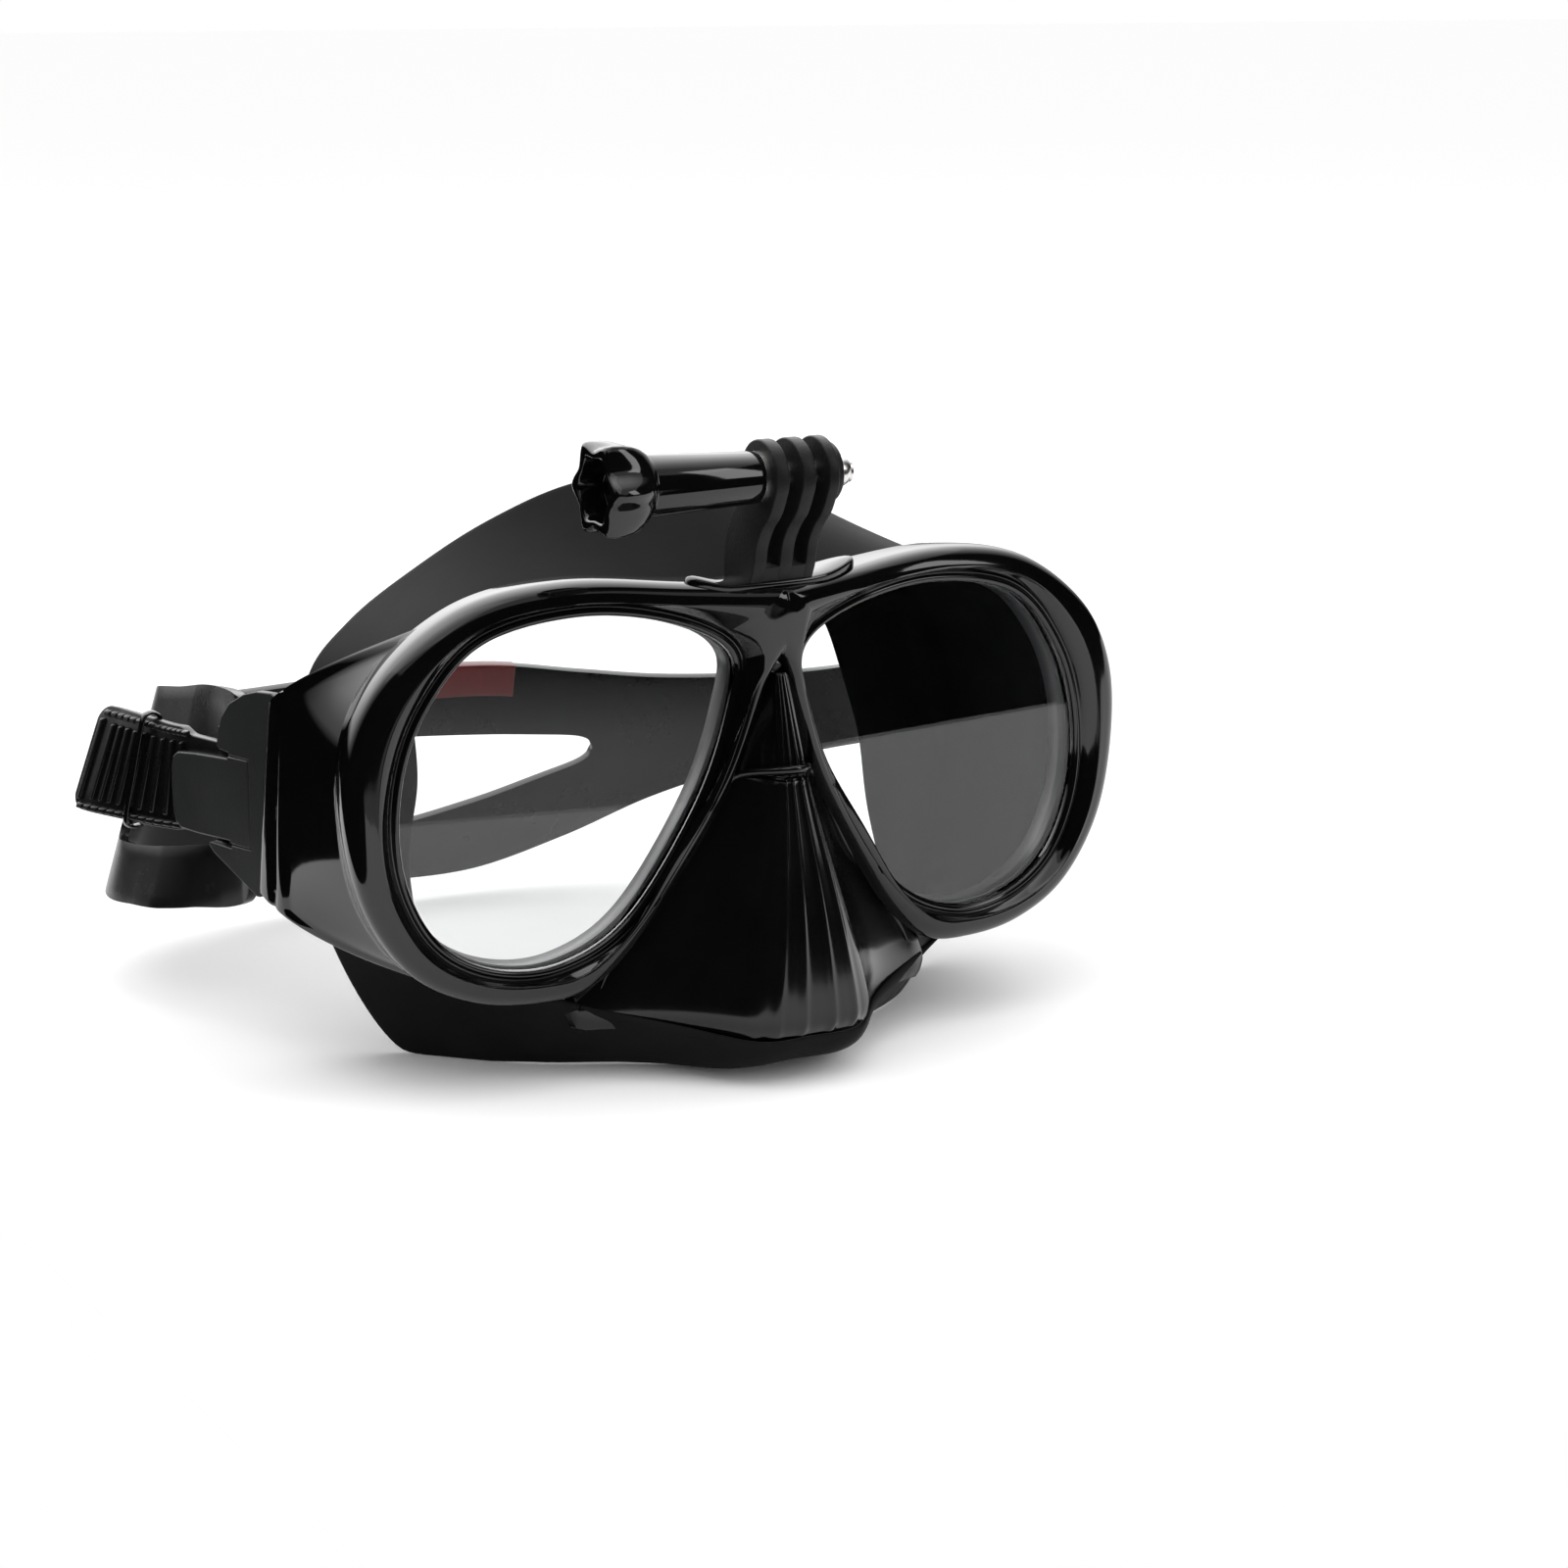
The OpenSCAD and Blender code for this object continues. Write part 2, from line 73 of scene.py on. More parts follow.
def add_camera():
    data = bpy.data.cameras.new("camera")
    data.lens = 81.0
    data.sensor_width = 36.0
    data.clip_end = 20.0
    camera = bpy.data.objects.new("camera", data)
    bpy.context.scene.collection.objects.link(camera)
    look_from(camera, at(CAMERA_PLACE), at(CAMERA_TARGET))
    bpy.context.scene.camera = camera


def add_softbox(name, place, target, width, height, watts):
    """A rectangular lamp; place, target and size are in metres."""
    data = bpy.data.lights.new(name, "AREA")
    data.shape = "RECTANGLE"
    data.size, data.size_y = width, height
    data.energy = watts
    lamp = bpy.data.objects.new(name, data)
    bpy.context.scene.collection.objects.link(lamp)
    look_from(lamp, place, target)


def spread(tree, output):
    """Turns one part of a direction, from -1 to 1, into 0 to 1."""
    node = tree.nodes.new("ShaderNodeMapRange")
    node.inputs["From Min"].default_value = -1.0
    tree.links.new(output, node.inputs["Value"])
    return node.outputs["Result"]


def ramp_of(tree, output, stops):
    """A ramp of greys, from stops of place and value."""
    ramp = tree.nodes.new("ShaderNodeValToRGB")
    while len(ramp.color_ramp.elements) < len(stops):
        ramp.color_ramp.elements.new(0.5)
    for element, (place, value) in zip(ramp.color_ramp.elements, stops):
        element.position = place
        element.color = (value, value, value, 1.0)
    tree.links.new(output, ramp.inputs["Fac"])
    return ramp.outputs["Color"]


def worked_out(tree, operation, first, second):
    """A Math node on two outputs, or on an output and a number."""
    node = tree.nodes.new("ShaderNodeMath")
    node.operation = operation
    tree.links.new(first, node.inputs[0])
    if isinstance(second, float):
        node.inputs[1].default_value = second
    else:
        tree.links.new(second, node.inputs[1])
    return node.outputs["Value"]


ROOM_STRENGTH = 3.8
CANOPY_WAY = (0.0, 0.7, 0.7)        # the canopy hangs this way, up and behind
# Ramps of the room, as stops of place and brightness. The place is 0 straight down, in front or
# away from the canopy, and 1 straight up, behind or about towards it.
ABOVE = ((0.0, 0.0), (0.505, 0.0), (0.54, 0.6), (0.7, 1.0))
CANOPY = ((0.0, 0.0), (0.64, 0.0), (0.78, 0.35), (0.92, 1.0))
CARD_FRONT = ((0.0, 0.16), (0.035, 0.16), (0.06, 0.0), (1.0, 0.0))
CARD_LOW = ((0.0, 1.0), (0.393, 1.0), (0.402, 0.0), (1.0, 0.0))


def room_light(tree):
    """What gloss mirrors: a dark room, a pale canopy above and behind, a dim card low in front."""
    place = tree.nodes.new("ShaderNodeTexCoord").outputs["Generated"]
    parts = tree.nodes.new("ShaderNodeSeparateXYZ")
    tree.links.new(place, parts.inputs[0])
    height = spread(tree, parts.outputs["Z"])
    depth = spread(tree, parts.outputs["Y"])
    slant = tree.nodes.new("ShaderNodeVectorMath")
    slant.operation = "DOT_PRODUCT"
    slant.inputs[1].default_value = CANOPY_WAY
    tree.links.new(place, slant.inputs[0])
    above = ramp_of(tree, height, ABOVE)
    canopy = ramp_of(tree, spread(tree, slant.outputs["Value"]), CANOPY)
    front = ramp_of(tree, depth, CARD_FRONT)
    low = ramp_of(tree, height, CARD_LOW)
    overhead = worked_out(tree, "MULTIPLY", above, canopy)
    card = worked_out(tree, "MULTIPLY", front, low)
    return worked_out(tree, "ADD", overhead, card)


def gloss_share(tree):
    """1 for a ray that has bounced off gloss and off nothing dull, otherwise 0."""
    rays = tree.nodes.new("ShaderNodeLightPath")
    mirrored = worked_out(tree, "MINIMUM", rays.outputs["Glossy Depth"], 1.0)
    direct = worked_out(tree, "LESS_THAN", rays.outputs["Diffuse Depth"], 0.5)
    return worked_out(tree, "MULTIPLY", mirrored, direct)


def add_world():
    """Plain white to the eye and to dull surfaces, the dark room to gloss."""
    world = bpy.data.worlds.new("studio")
    bpy.context.scene.world = world
    world.use_nodes = True
    tree = world.node_tree
    tree.nodes.clear()
    plain = tree.nodes.new("ShaderNodeBackground")
    plain.inputs["Color"].default_value = (1.0, 1.0, 1.0, 1.0)
    room = tree.nodes.new("ShaderNodeBackground")
    room.inputs["Strength"].default_value = ROOM_STRENGTH
    tree.links.new(room_light(tree), room.inputs["Color"])
    mix = tree.nodes.new("ShaderNodeMixShader")
    tree.links.new(gloss_share(tree), mix.inputs["Fac"])
    tree.links.new(plain.outputs[0], mix.inputs[1])
    tree.links.new(room.outputs[0], mix.inputs[2])
    out = tree.nodes.new("ShaderNodeOutputWorld")
    tree.links.new(mix.outputs[0], out.inputs["Surface"])


FLOOR_FRONT = -0.30                 # the table ends here, so that the glass mirrors the dark room too
FLOOR_LEFT = -0.17                  # and here, so that the side of the mask does
FLOOR_REACH = 12.0                  # metres to the other two edges


def add_floor():
    mesh = bpy.data.meshes.new("floor")
    corners = [(FLOOR_LEFT, FLOOR_FRONT, 0), (FLOOR_REACH, FLOOR_FRONT, 0),
               (FLOOR_REACH, FLOOR_REACH, 0), (FLOOR_LEFT, FLOOR_REACH, 0)]
    mesh.from_pydata(corners, [], [(0, 1, 2, 3)])
    floor = bpy.data.objects.new("floor", mesh)
    bpy.context.scene.collection.objects.link(floor)
    mat = bpy.data.materials.new("floor_paper")
    mat.use_nodes = True
    shader = mat.node_tree.nodes["Principled BSDF"]
    shader.inputs["Base Color"].default_value = (0.975, 0.975, 0.975, 1.0)
    shader.inputs["Roughness"].default_value = 1.0
    shader.inputs["Specular IOR Level"].default_value = 0.0
    mesh.materials.append(mat)


# ---------------------------------------------------------------- materials
def new_material(name, color, roughness, bump_scale, bump_height, blotch, tone, **sockets):
    """A moulded surface: fine grain in the bump, slow blotches in roughness and colour.
    bump_height is in mm; blotch and tone say how far roughness and colour go up and down."""
    mat = bpy.data.materials.new(name)
    mat.use_nodes = True
    tree = mat.node_tree
    shader = tree.nodes["Principled BSDF"]
    for key, value in sockets.items():
        shader.inputs[key.replace("_", " ")].default_value = value
    place = tree.nodes.new("ShaderNodeTexCoord")
    link = tree.links.new
    grain = tree.nodes.new("ShaderNodeTexNoise")
    grain.inputs["Scale"].default_value = bump_scale
    grain.inputs["Detail"].default_value = 4.0
    link(place.outputs["Object"], grain.inputs["Vector"])
    bump = tree.nodes.new("ShaderNodeBump")
    bump.inputs["Strength"].default_value = 1.0
    bump.inputs["Distance"].default_value = bump_height * MM
    link(grain.outputs["Fac"], bump.inputs["Height"])
    link(bump.outputs["Normal"], shader.inputs["Normal"])
    cloud = tree.nodes.new("ShaderNodeTexNoise")
    cloud.inputs["Scale"].default_value = 38.0
    cloud.inputs["Detail"].default_value = 5.0
    cloud.inputs["Roughness"].default_value = 0.65
    link(place.outputs["Object"], cloud.inputs["Vector"])
    rough = tree.nodes.new("ShaderNodeMapRange")
    rough.inputs["From Min"].default_value = 0.3
    rough.inputs["From Max"].default_value = 0.7
    rough.inputs["To Min"].default_value = max(roughness - blotch, 0.0)
    rough.inputs["To Max"].default_value = roughness + blotch
    link(cloud.outputs["Fac"], rough.inputs["Value"])
    link(rough.outputs["Result"], shader.inputs["Roughness"])
    ramp = tree.nodes.new("ShaderNodeValToRGB")
    ramp.color_ramp.elements[0].position = 0.3
    ramp.color_ramp.elements[1].position = 0.7
    for element, shift in zip(ramp.color_ramp.elements, (1.0 - tone, 1.0 + tone)):
        element.color = tuple(c * shift for c in color) + (1.0,)
    link(cloud.outputs["Fac"], ramp.inputs["Fac"])
    link(ramp.outputs["Color"], shader.inputs["Base Color"])
    return mat


def brushed_steel():
    return new_material("steel", (0.62, 0.61, 0.6), 0.22, 900.0, 0.01, 0.06, 0.08, Metallic=1.0)


def clear_glass():
    mat = bpy.data.materials.new("lens_glass")
    mat.use_nodes = True
    shader = mat.node_tree.nodes["Principled BSDF"]
    shader.inputs["Base Color"].default_value = (0.975, 0.985, 0.985, 1.0)
    shader.inputs["Roughness"].default_value = 0.0
    shader.inputs["IOR"].default_value = 1.41
    shader.inputs["Transmission Weight"].default_value = 1.0
    return mat


GLOSS = new_material("gloss_black", (0.0018, 0.0018, 0.002), 0.06, 260.0, 0.006, 0.02, 0.2)
GLOSS_SOFT = new_material("gloss_silicone", (0.002, 0.002, 0.0021), 0.14, 300.0, 0.012, 0.04, 0.2,
                          Specular_IOR_Level=0.42)
SKIRT = new_material("skirt_silicone", (0.0085, 0.0085, 0.0088), 0.34, 420.0, 0.02, 0.06, 0.2,
                     Specular_IOR_Level=0.006)
SEAL = new_material("seal_silicone", (0.05, 0.051, 0.054), 0.35, 420.0, 0.01, 0.06, 0.2)
STRAP = new_material("strap_silicone", (0.003, 0.003, 0.0034), 0.26, 420.0, 0.015, 0.05, 0.2,
                     Specular_IOR_Level=0.22)
MATTE = new_material("matte_black", (0.006, 0.006, 0.006), 0.42, 1400.0, 0.05, 0.06, 0.15,
                     Specular_IOR_Level=0.16)
GREY = new_material("matte_grey", (0.012, 0.0125, 0.013), 0.36, 1200.0, 0.03, 0.06, 0.12,
                    Specular_IOR_Level=0.3)
RED = new_material("accent_red", (0.09, 0.001, 0.002), 0.4, 420.0, 0.015, 0.05, 0.2)
STEEL = brushed_steel()
GLASS = clear_glass()


# ---------------------------------------------------------------- curves and meshes
def spline(a, b, c, d, t):
    """A point between b and c on a smooth curve through a, b, c and d."""
    return [0.5 * (2 * q + (r - p) * t + (2 * p - 5 * q + 4 * r - s) * t * t
                   + (3 * q - p - 3 * r + s) * t ** 3) for p, q, r, s in zip(a, b, c, d)]


def loop(points, n):
    """A smooth closed curve through the points, n steps from one to the next."""
    m = len(points)
    return [spline(points[i - 1], points[i], points[(i + 1) % m], points[(i + 2) % m], k / n)
            for i in range(m) for k in range(n)]


def course(points, n):
    """A smooth open curve through points or plain numbers, n steps from one to the next."""
    m = len(points) - 1
    if not isinstance(points[0], (list, tuple)):
        return [p[0] for p in course([(p,) for p in points], n)]
    return [spline(points[max(i - 1, 0)], points[i], points[i + 1], points[min(i + 2, m)], k / n)
            for i in range(m) for k in range(n + 1 if i == m - 1 else n)]


def lerp(a, b, t):
    if isinstance(a, (int, float)):
        return a + (b - a) * t
    return [p + (q - p) * t for p, q in zip(a, b)]


def smooth(t):
    t = min(max(t, 0.0), 1.0)
    return t * t * (3 - 2 * t)


def both_halves(points):
    """A half outline and its mirror image; both ends lie on the middle line."""
    return list(points) + [(-p[0],) + tuple(p[1:]) for p in points[-2:0:-1]]


def make(name, points, faces, material, body, nodes=(), sharp=None, mirror=False):
    """A smooth mesh piece from points in mm about the bridge."""
    mesh = bpy.data.meshes.new(name)
    if mirror:
        points = [(-p[0], p[1], p[2]) for p in points]
        faces = [tuple(reversed(f)) for f in faces]
    mesh.from_pydata([at(p) for p in points], [], faces)
    mesh.validate()
    mesh.materials.append(material)
    piece = bpy.data.objects.new(name, mesh)
    bpy.context.scene.collection.objects.link(piece)
    for poly in mesh.polygons:
        poly.use_smooth = True
    if sharp is not None:
        mesh.set_sharp_from_angle(angle=math.radians(sharp))
    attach(piece, body)
    if nodes:
        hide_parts(*nodes)
    return piece


def weave(rings, ring_closed=True, chain_closed=False, caps=False):
    """Quads between rings of equal length."""
    n, m = len(rings[0]), len(rings)
    faces = []
    for i in range(m if chain_closed else m - 1):
        j = (i + 1) % m
        for k in range(n if ring_closed else n - 1):
            l = (k + 1) % n
            faces.append((i * n + k, j * n + k, j * n + l, i * n + l))
    if caps:
        faces.append(tuple(range(n)))
        faces.append(tuple((m - 1) * n + k for k in reversed(range(n))))
    return [p for ring in rings for p in ring], faces


def weld(piece, distance=0.02):
    """Joins points closer than distance, in mm, and turns every face outwards."""
    bm = bmesh.new()
    bm.from_mesh(piece.data)
    bmesh.ops.remove_doubles(bm, verts=bm.verts, dist=distance * MM)
    bmesh.ops.recalc_face_normals(bm, faces=bm.faces)
    bm.to_mesh(piece.data)
    bm.free()


def add_bevel(piece, width, segments=3, angle=35):
    mod = piece.modifiers.new("bevel", "BEVEL")
    mod.width = width * MM
    mod.segments = segments
    mod.limit_method = "ANGLE"
    mod.angle_limit = math.radians(angle)


def add_shell(piece, thickness, offset=-1.0):
    mod = piece.modifiers.new("shell", "SOLIDIFY")
    mod.thickness = thickness * MM
    mod.offset = offset
    mod.use_even_offset = True


def add_smooth(piece):
    mod = piece.modifiers.new("smooth", "SUBSURF")
    mod.levels = 1
    mod.render_levels = 1


# ---------------------------------------------------------------- frame
GLASS_Y = 6.5                       # depth of the front face of the glass
WRAP = math.radians(4.7)            # each glass is swept back by this
RIM_CREST = 3.0                     # depth of the flat front of the rim
GLASS_EDGE = [(9.5, 88.5), (22, 95.5), (42, 98.5), (63, 94.5), (75, 82), (80.5, 67),
              (80.5, 50), (74, 35.5), (62, 28), (47, 27.5), (32, 36), (17, 58), (10, 77)]
RIM_EDGE = [(-14, 103.2), (0, 102.9), (20, 104.2), (45, 106.0), (66, 102.5), (83, 91),
            (91, 77), (92.2, 60), (88.5, 42), (79, 28), (66, 21), (52, 19.2), (41, 21),
            (30, 30.5), (19.7, 45.5), (9.5, 62.5), (3.5, 78), (0, 87.6), (-8, 88)]
BROW_TOP, V_TOP = 102.9, 87.6       # the rims meet on the middle line between these heights
SEAM = 26                           # stations along the middle line of the bridge
REST = 132                          # stations round the rest of the rim
EDGE_STEPS = 8                      # curve steps between two points of an edge
HEART = (46.0, 63.0)                # middle of one glass, that the sections fan out from


def reach(outline, angle):
    """Distance from the heart of the glass to an outline, along one direction."""
    dx, dz = math.cos(angle), math.sin(angle)
    best = 0.0
    for (ax, az), (bx, bz) in zip(outline, outline[1:] + outline[:1]):
        ex, ez = bx - ax, bz - az
        det = dx * ez - dz * ex
        if abs(det) < 1e-9:
            continue
        px, pz = ax - HEART[0], az - HEART[1]
        t = (px * ez - pz * ex) / det
        u = (px * dz - pz * dx) / det
        if -1e-6 <= u <= 1 + 1e-6 and t > best:
            best = t
    return best


def stations():
    """Directions round one glass: the first ones end on the middle line of the bridge."""
    glass = [tuple(p) for p in loop(GLASS_EDGE, EDGE_STEPS)]
    rim = [tuple(p) for p in course(RIM_EDGE, EDGE_STEPS) if p[0] >= -1e-6]
    high = math.atan2(BROW_TOP - HEART[1], -HEART[0])
    low = math.atan2(V_TOP - HEART[1], -HEART[0])
    turns = [lerp(high, low, (k / SEAM) ** 1.3) for k in range(SEAM + 1)]
    turns += [lerp(low, high + 2 * math.pi, k / REST) for k in range(1, REST)]
    found = []
    for k, turn in enumerate(turns):
        on_seam = k <= SEAM
        inner = reach(glass, turn)
        outer = -HEART[0] / math.cos(turn) if on_seam else reach(rim, turn)
        found.append((turn, inner, outer, on_seam))
    return found


def swept(x, z, y):
    """A point of the swept-back lens plane."""
    return [x * math.cos(WRAP) - y * math.sin(WRAP), x * math.sin(WRAP) + y * math.cos(WRAP), z]


ROLL = 4.6                          # width of the rounded outer edge of the rim


def roll_off(d):
    """How far the surface has dropped at d from the edge: 1 at the edge, 0 past the roll."""
    d = min(max(d / ROLL, 0.0), 1.0)
    return 1 - math.sqrt(max(0.0, 1 - (1 - d) ** 2))


def brow_lift(x, z):
    """How far the bridge stands forward of the rims."""
    return 5.5 * math.exp(-(x / 21.0) ** 2) * (0.45 + 0.55 * smooth((z - 76) / 26))


# Section of the lip round the glass: distance from the glass edge, depth from the glass's face
LIP = [(0.0, 0.3), (0.0, -0.7), (0.3, -1.3), (0.9, -1.55), (1.4, -1.45), (1.7, -0.9),
       (2.1, -0.8), (2.4, -1.5), (3.1, -2.4), (4.1, -3.1)]


def rim_section(width, edge):
    """Points across the rim as distance from the glass edge and depth in the lens plane."""
    points = [(min(r, width * 0.45), GLASS_Y + y) for r, y in LIP]
    start = points[-1][0]
    shoulder = width - ROLL
    for t in (0.35, 0.7):
        points.append((lerp(start, shoulder, t), RIM_CREST - 0.25 * math.sin(math.pi * t)))
    for w in (1.0, 0.78, 0.56, 0.38, 0.24, 0.13, 0.05, 0.0):
        points.append((width - ROLL * w, RIM_CREST + ROLL * 0.95 * edge * roll_off(w * ROLL)))
    return points


def half_bezel():
    """Sections of the right half; on the middle line their outer ends come together at x = 0."""
    rings = []
    for turn, inner, outer, on_seam in stations():
        width = outer - inner
        z_out = HEART[1] + outer * math.sin(turn)
        edge = max(roll_off(BROW_TOP - z_out), roll_off(z_out - V_TOP)) if on_seam else 1.0
        ring = []
        section = rim_section(width, edge)
        for r, y in section + [(width, 9.5), (width - 0.4, 13.6)]:
            x = HEART[0] + (inner + r) * math.cos(turn)
            z = HEART[1] + (inner + r) * math.sin(turn)
            lift = brow_lift(x, z) * smooth((r - 1.0) / max(width - 2.0, 1.0) * 1.6)
            fade = 1.0 if y < 9.0 else 0.0
            p = swept(x, z, y - lift * fade)
            p[1] += math.sin(WRAP) * (math.hypot(x, 4.0) - abs(x))
            if on_seam and r > width - 0.5:
                p[0] = 0.0
            ring.append(p)
        rings.append(ring)
    return rings


def front_bezel():
    """Both halves in one; along the middle line their outer walls are left out, so that they join."""
    rings = half_bezel()
    points, faces = weave(rings, ring_closed=False, chain_closed=True)
    n = len(rings[0])
    seam_wall = set()
    for i in range(SEAM):
        for k in (n - 3, n - 2):
            seam_wall.add((i * n + k, (i + 1) * n + k, (i + 1) * n + k + 1, i * n + k + 1))
    faces = [f for f in faces if f not in seam_wall]
    count = len(points)
    points = points + [(-p[0], p[1], p[2]) for p in points]
    faces = faces + [tuple(count + v for v in reversed(f)) for f in faces]
    piece = make("bezel_front", points, faces, GLOSS, "mask", ("front_bezel",))
    weld(piece, 0.15)
    add_smooth(piece)


# Section of the gasket: distance from the glass edge, place in depth
GASKET = [(0.5, 9.55), (-0.2, 9.55), (-0.3, 10.2), (-0.3, 15.0), (0.1, 15.6), (0.9, 15.7),
          (1.2, 15.2), (1.2, 14.2), (0.4, 14.0)]


def lens_seals():
    """The grey gasket behind each glass, that shows as a wall round the far edge."""
    rings = []
    for turn, inner, _, _ in stations():
        ring = []
        for r, y in GASKET:
            ring.append(swept(HEART[0] + (inner + r) * math.cos(turn),
                              HEART[1] + (inner + r) * math.sin(turn), y))
        rings.append(ring)
    for side, s in SIDES:
        points, faces = weave(rings, chain_closed=True)
        piece = make("seal_wall_" + side, points, faces, SEAL, "mask", ("lens_seal_" + side,),
                     mirror=s == LEFT)
        weld(piece, 0.001)


def carrier_ring():
    """The flat carrier behind the bezel, that holds the glass from behind."""
    rings = []
    for turn, inner, outer, on_seam in stations():
        ring = []
        out = outer if on_seam else outer - 1.2
        for r, y in ((inner + 0.4, 9.6), (inner + 0.4, 13.2), (inner + 1.2, 14.0),
                     (out - 1.0, 14.0), (out, 13.0), (out, 9.6)):
            x = HEART[0] + r * math.cos(turn)
            z = HEART[1] + r * math.sin(turn)
            p = swept(x, z, y)
            if on_seam and r > out - 1.1:
                p[0] = 0.0
            ring.append(p)
        rings.append(ring)
    return rings


WING_TOP = (93.8, 45.0, 80.5)       # upper and lower end of the wing's rear edge
WING_LOW = (93.8, 54.0, 38.5)
WING_START = (68, 102)              # the wing's front edge follows the rim between these two
WING_STOP = (68, 21.5)
WING_INSET = 1.1                    # the front edge lies this far inside the rim
WING_ROWS = 44


def wing_relief(a, b):
    """A sunk panel inside a raised border, then a groove and a lip at the rear end.
    a runs down along a row and b from the rim to the rear, both from 0 to 1."""
    panel = smooth((b - 0.1) / 0.04) * smooth((0.78 - b) / 0.04)
    panel *= smooth((a - 0.03) / 0.02) * smooth((0.97 - a) / 0.02)
    groove = math.exp(-((b - 0.86) / 0.016) ** 2)
    lip = smooth((b - 0.88) / 0.04)
    return -0.9 * panel - 0.9 * groove + 0.4 * lip


def nearest(outline, place):
    """Index of the point of an outline that is closest to a place."""
    return min(range(len(outline)),
               key=lambda i: abs(outline[i][0] - place[0]) + abs(outline[i][1] - place[1]))


def wing_rings():
    """Rows from the rim back to the rear lip of one side wing."""
    rim = [tuple(p) for p in course(RIM_EDGE, EDGE_STEPS) if p[0] >= 0]
    front = rim[nearest(rim, WING_START):nearest(rim, WING_STOP) + 1]
    rings = []
    for j in range(WING_ROWS + 1):
        b = j / WING_ROWS
        ring = []
        for i, (x, z) in enumerate(front):
            a = i / (len(front) - 1)
            cx, cz = x - HEART[0], z - HEART[1]
            size = math.hypot(cx, cz)
            x, z = x - WING_INSET * cx / size, z - WING_INSET * cz / size
            fx, fy, fz = swept(x, z, 9.0)
            rear = lerp(WING_TOP, WING_LOW, smooth(a) * 0.35 + a * 0.65)
            bend = math.sin(b * math.pi / 2) ** 0.9
            push = wing_relief(a, b)
            ring.append((lerp(fx, rear[0], bend) + push * abs(cx) / size, lerp(fy, rear[1], b),
                         lerp(fz, rear[2], b ** 0.95) + push * cz / size * (1 - b)))
        rings.append(ring)
    return rings


def inner_frame():
    rings = carrier_ring()
    points, faces = weave(rings, ring_closed=False, chain_closed=True)
    count = len(points)
    points += [(-p[0], p[1], p[2]) for p in points]
    faces += [tuple(count + v for v in reversed(f)) for f in faces]
    ring = make("carrier_ring", points, faces, GLOSS, "mask", ("inner_frame",), sharp=50)
    weld(ring, 0.1)
    for side, s in SIDES:
        points, faces = weave(wing_rings(), ring_closed=False)
        wing = make("side_wing_" + side, points, faces, GLOSS, "mask", (),
                    mirror=s == LEFT)
        weld(wing)
        add_shell(wing, 2.2, -1.0)
        add_bevel(wing, 0.8, 3, 50)
        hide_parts("inner_frame")


# ---------------------------------------------------------------- skirt and nose pocket
SKIRT_FRONT = [(0, 14, 97), (21, 15, 100), (43, 17, 101), (62, 18, 96), (75, 20, 86),
               (79.5, 21, 70), (79.5, 21, 52), (76, 20, 35), (61, 18, 24), (42, 12, 16.5),
               (24, 1, 12), (12, -11.5, 10), (0, -13, 10)]
SKIRT_BACK = [(0, 55, 120), (20, 57, 118), (37, 60, 111.5), (51, 65, 102.5), (66, 70, 90.5),
              (75.5, 72, 77), (78, 66, 53), (76, 65, 27), (64.5, 50.5, 0.3), (46, 31.5, 0.3),
              (29, 21.5, 0.3), (15, 14, 0.3), (0, 13, 2)]
# At each point of the two edges: how far the side swells out, and the width of the sealing flap
SKIRT_BULGE = [0, 0, 0, 0, 0.5, 1, 1, -2, -7, 0, 1.6, 3.4, 3.9]
SEAL_WIDTH = [11, 12, 14, 16, 21, 24, 24, 21, 13, 11, 9, 9, 9]
SKIRT_T = 2.0
SKIRT_STEPS = 8
# The sealing flap, out and back: part of its width, and how far it stands behind the edge
SEAL_FLAP = [(0.2, 0.9), (0.45, 0.2), (0.77, -0.8), (0.97, -1.4), (1.0, -1.8),
             (0.97, -2.1), (0.73, -2.0), (0.36, -2.0)]


def skirt_ring(f, b, bulge, wide):
    """One section: the outside from the frame to the rear edge, the sealing flap, the inside."""
    b = [b[0], b[1], max(b[2], 0.0)]
    mid = lerp(f, b, 0.5)
    out = Vector((mid[0], 0, mid[2] - 60)).normalized()
    inward = Vector((b[0], 6, b[2] - 62)).normalized()
    edge = Vector(b)
    run = edge - Vector(lerp(f, b, 0.9))
    run.normalize()

    def shell(t, deep):
        lift = bulge * math.sin(math.pi * t ** 0.7) - deep
        p = lerp(f, b, t)
        return [p[0] + out.x * lift, p[1], max(p[2] + out.z * lift, 0.0 if deep == 0 else 0.6)]

    ring = [shell(t, 0) for t in (0, 0.06, 0.14, 0.25, 0.4, 0.55, 0.7, 0.82, 0.9, 0.96)]
    ring.append(list(edge))
    ring.append(list(edge + run * 0.9 - out * 0.8))
    for s, lift in SEAL_FLAP:
        ring.append(list(edge - inward * s * wide + run * lift))
    ring += [shell(t, SKIRT_T) for t in (0.92, 0.75, 0.5, 0.25, 0.0)]
    return [[p[0], p[1], max(p[2], 0.0)] for p in ring]


def skirt():
    front = loop(both_halves(SKIRT_FRONT), SKIRT_STEPS)
    back = loop(both_halves(SKIRT_BACK), SKIRT_STEPS)
    swell = loop([(v,) for v in SKIRT_BULGE + SKIRT_BULGE[-2:0:-1]], SKIRT_STEPS)
    widths = loop([(v,) for v in SEAL_WIDTH + SEAL_WIDTH[-2:0:-1]], SKIRT_STEPS)
    rings = [skirt_ring(f, b, bulge, wide)
             for f, b, (bulge,), (wide,) in zip(front, back, swell, widths)]
    points, faces = weave(rings, ring_closed=True, chain_closed=True)
    piece = make("face_skirt", points, faces, SKIRT, "mask", ("skirt",))
    weld(piece)
    add_smooth(piece)


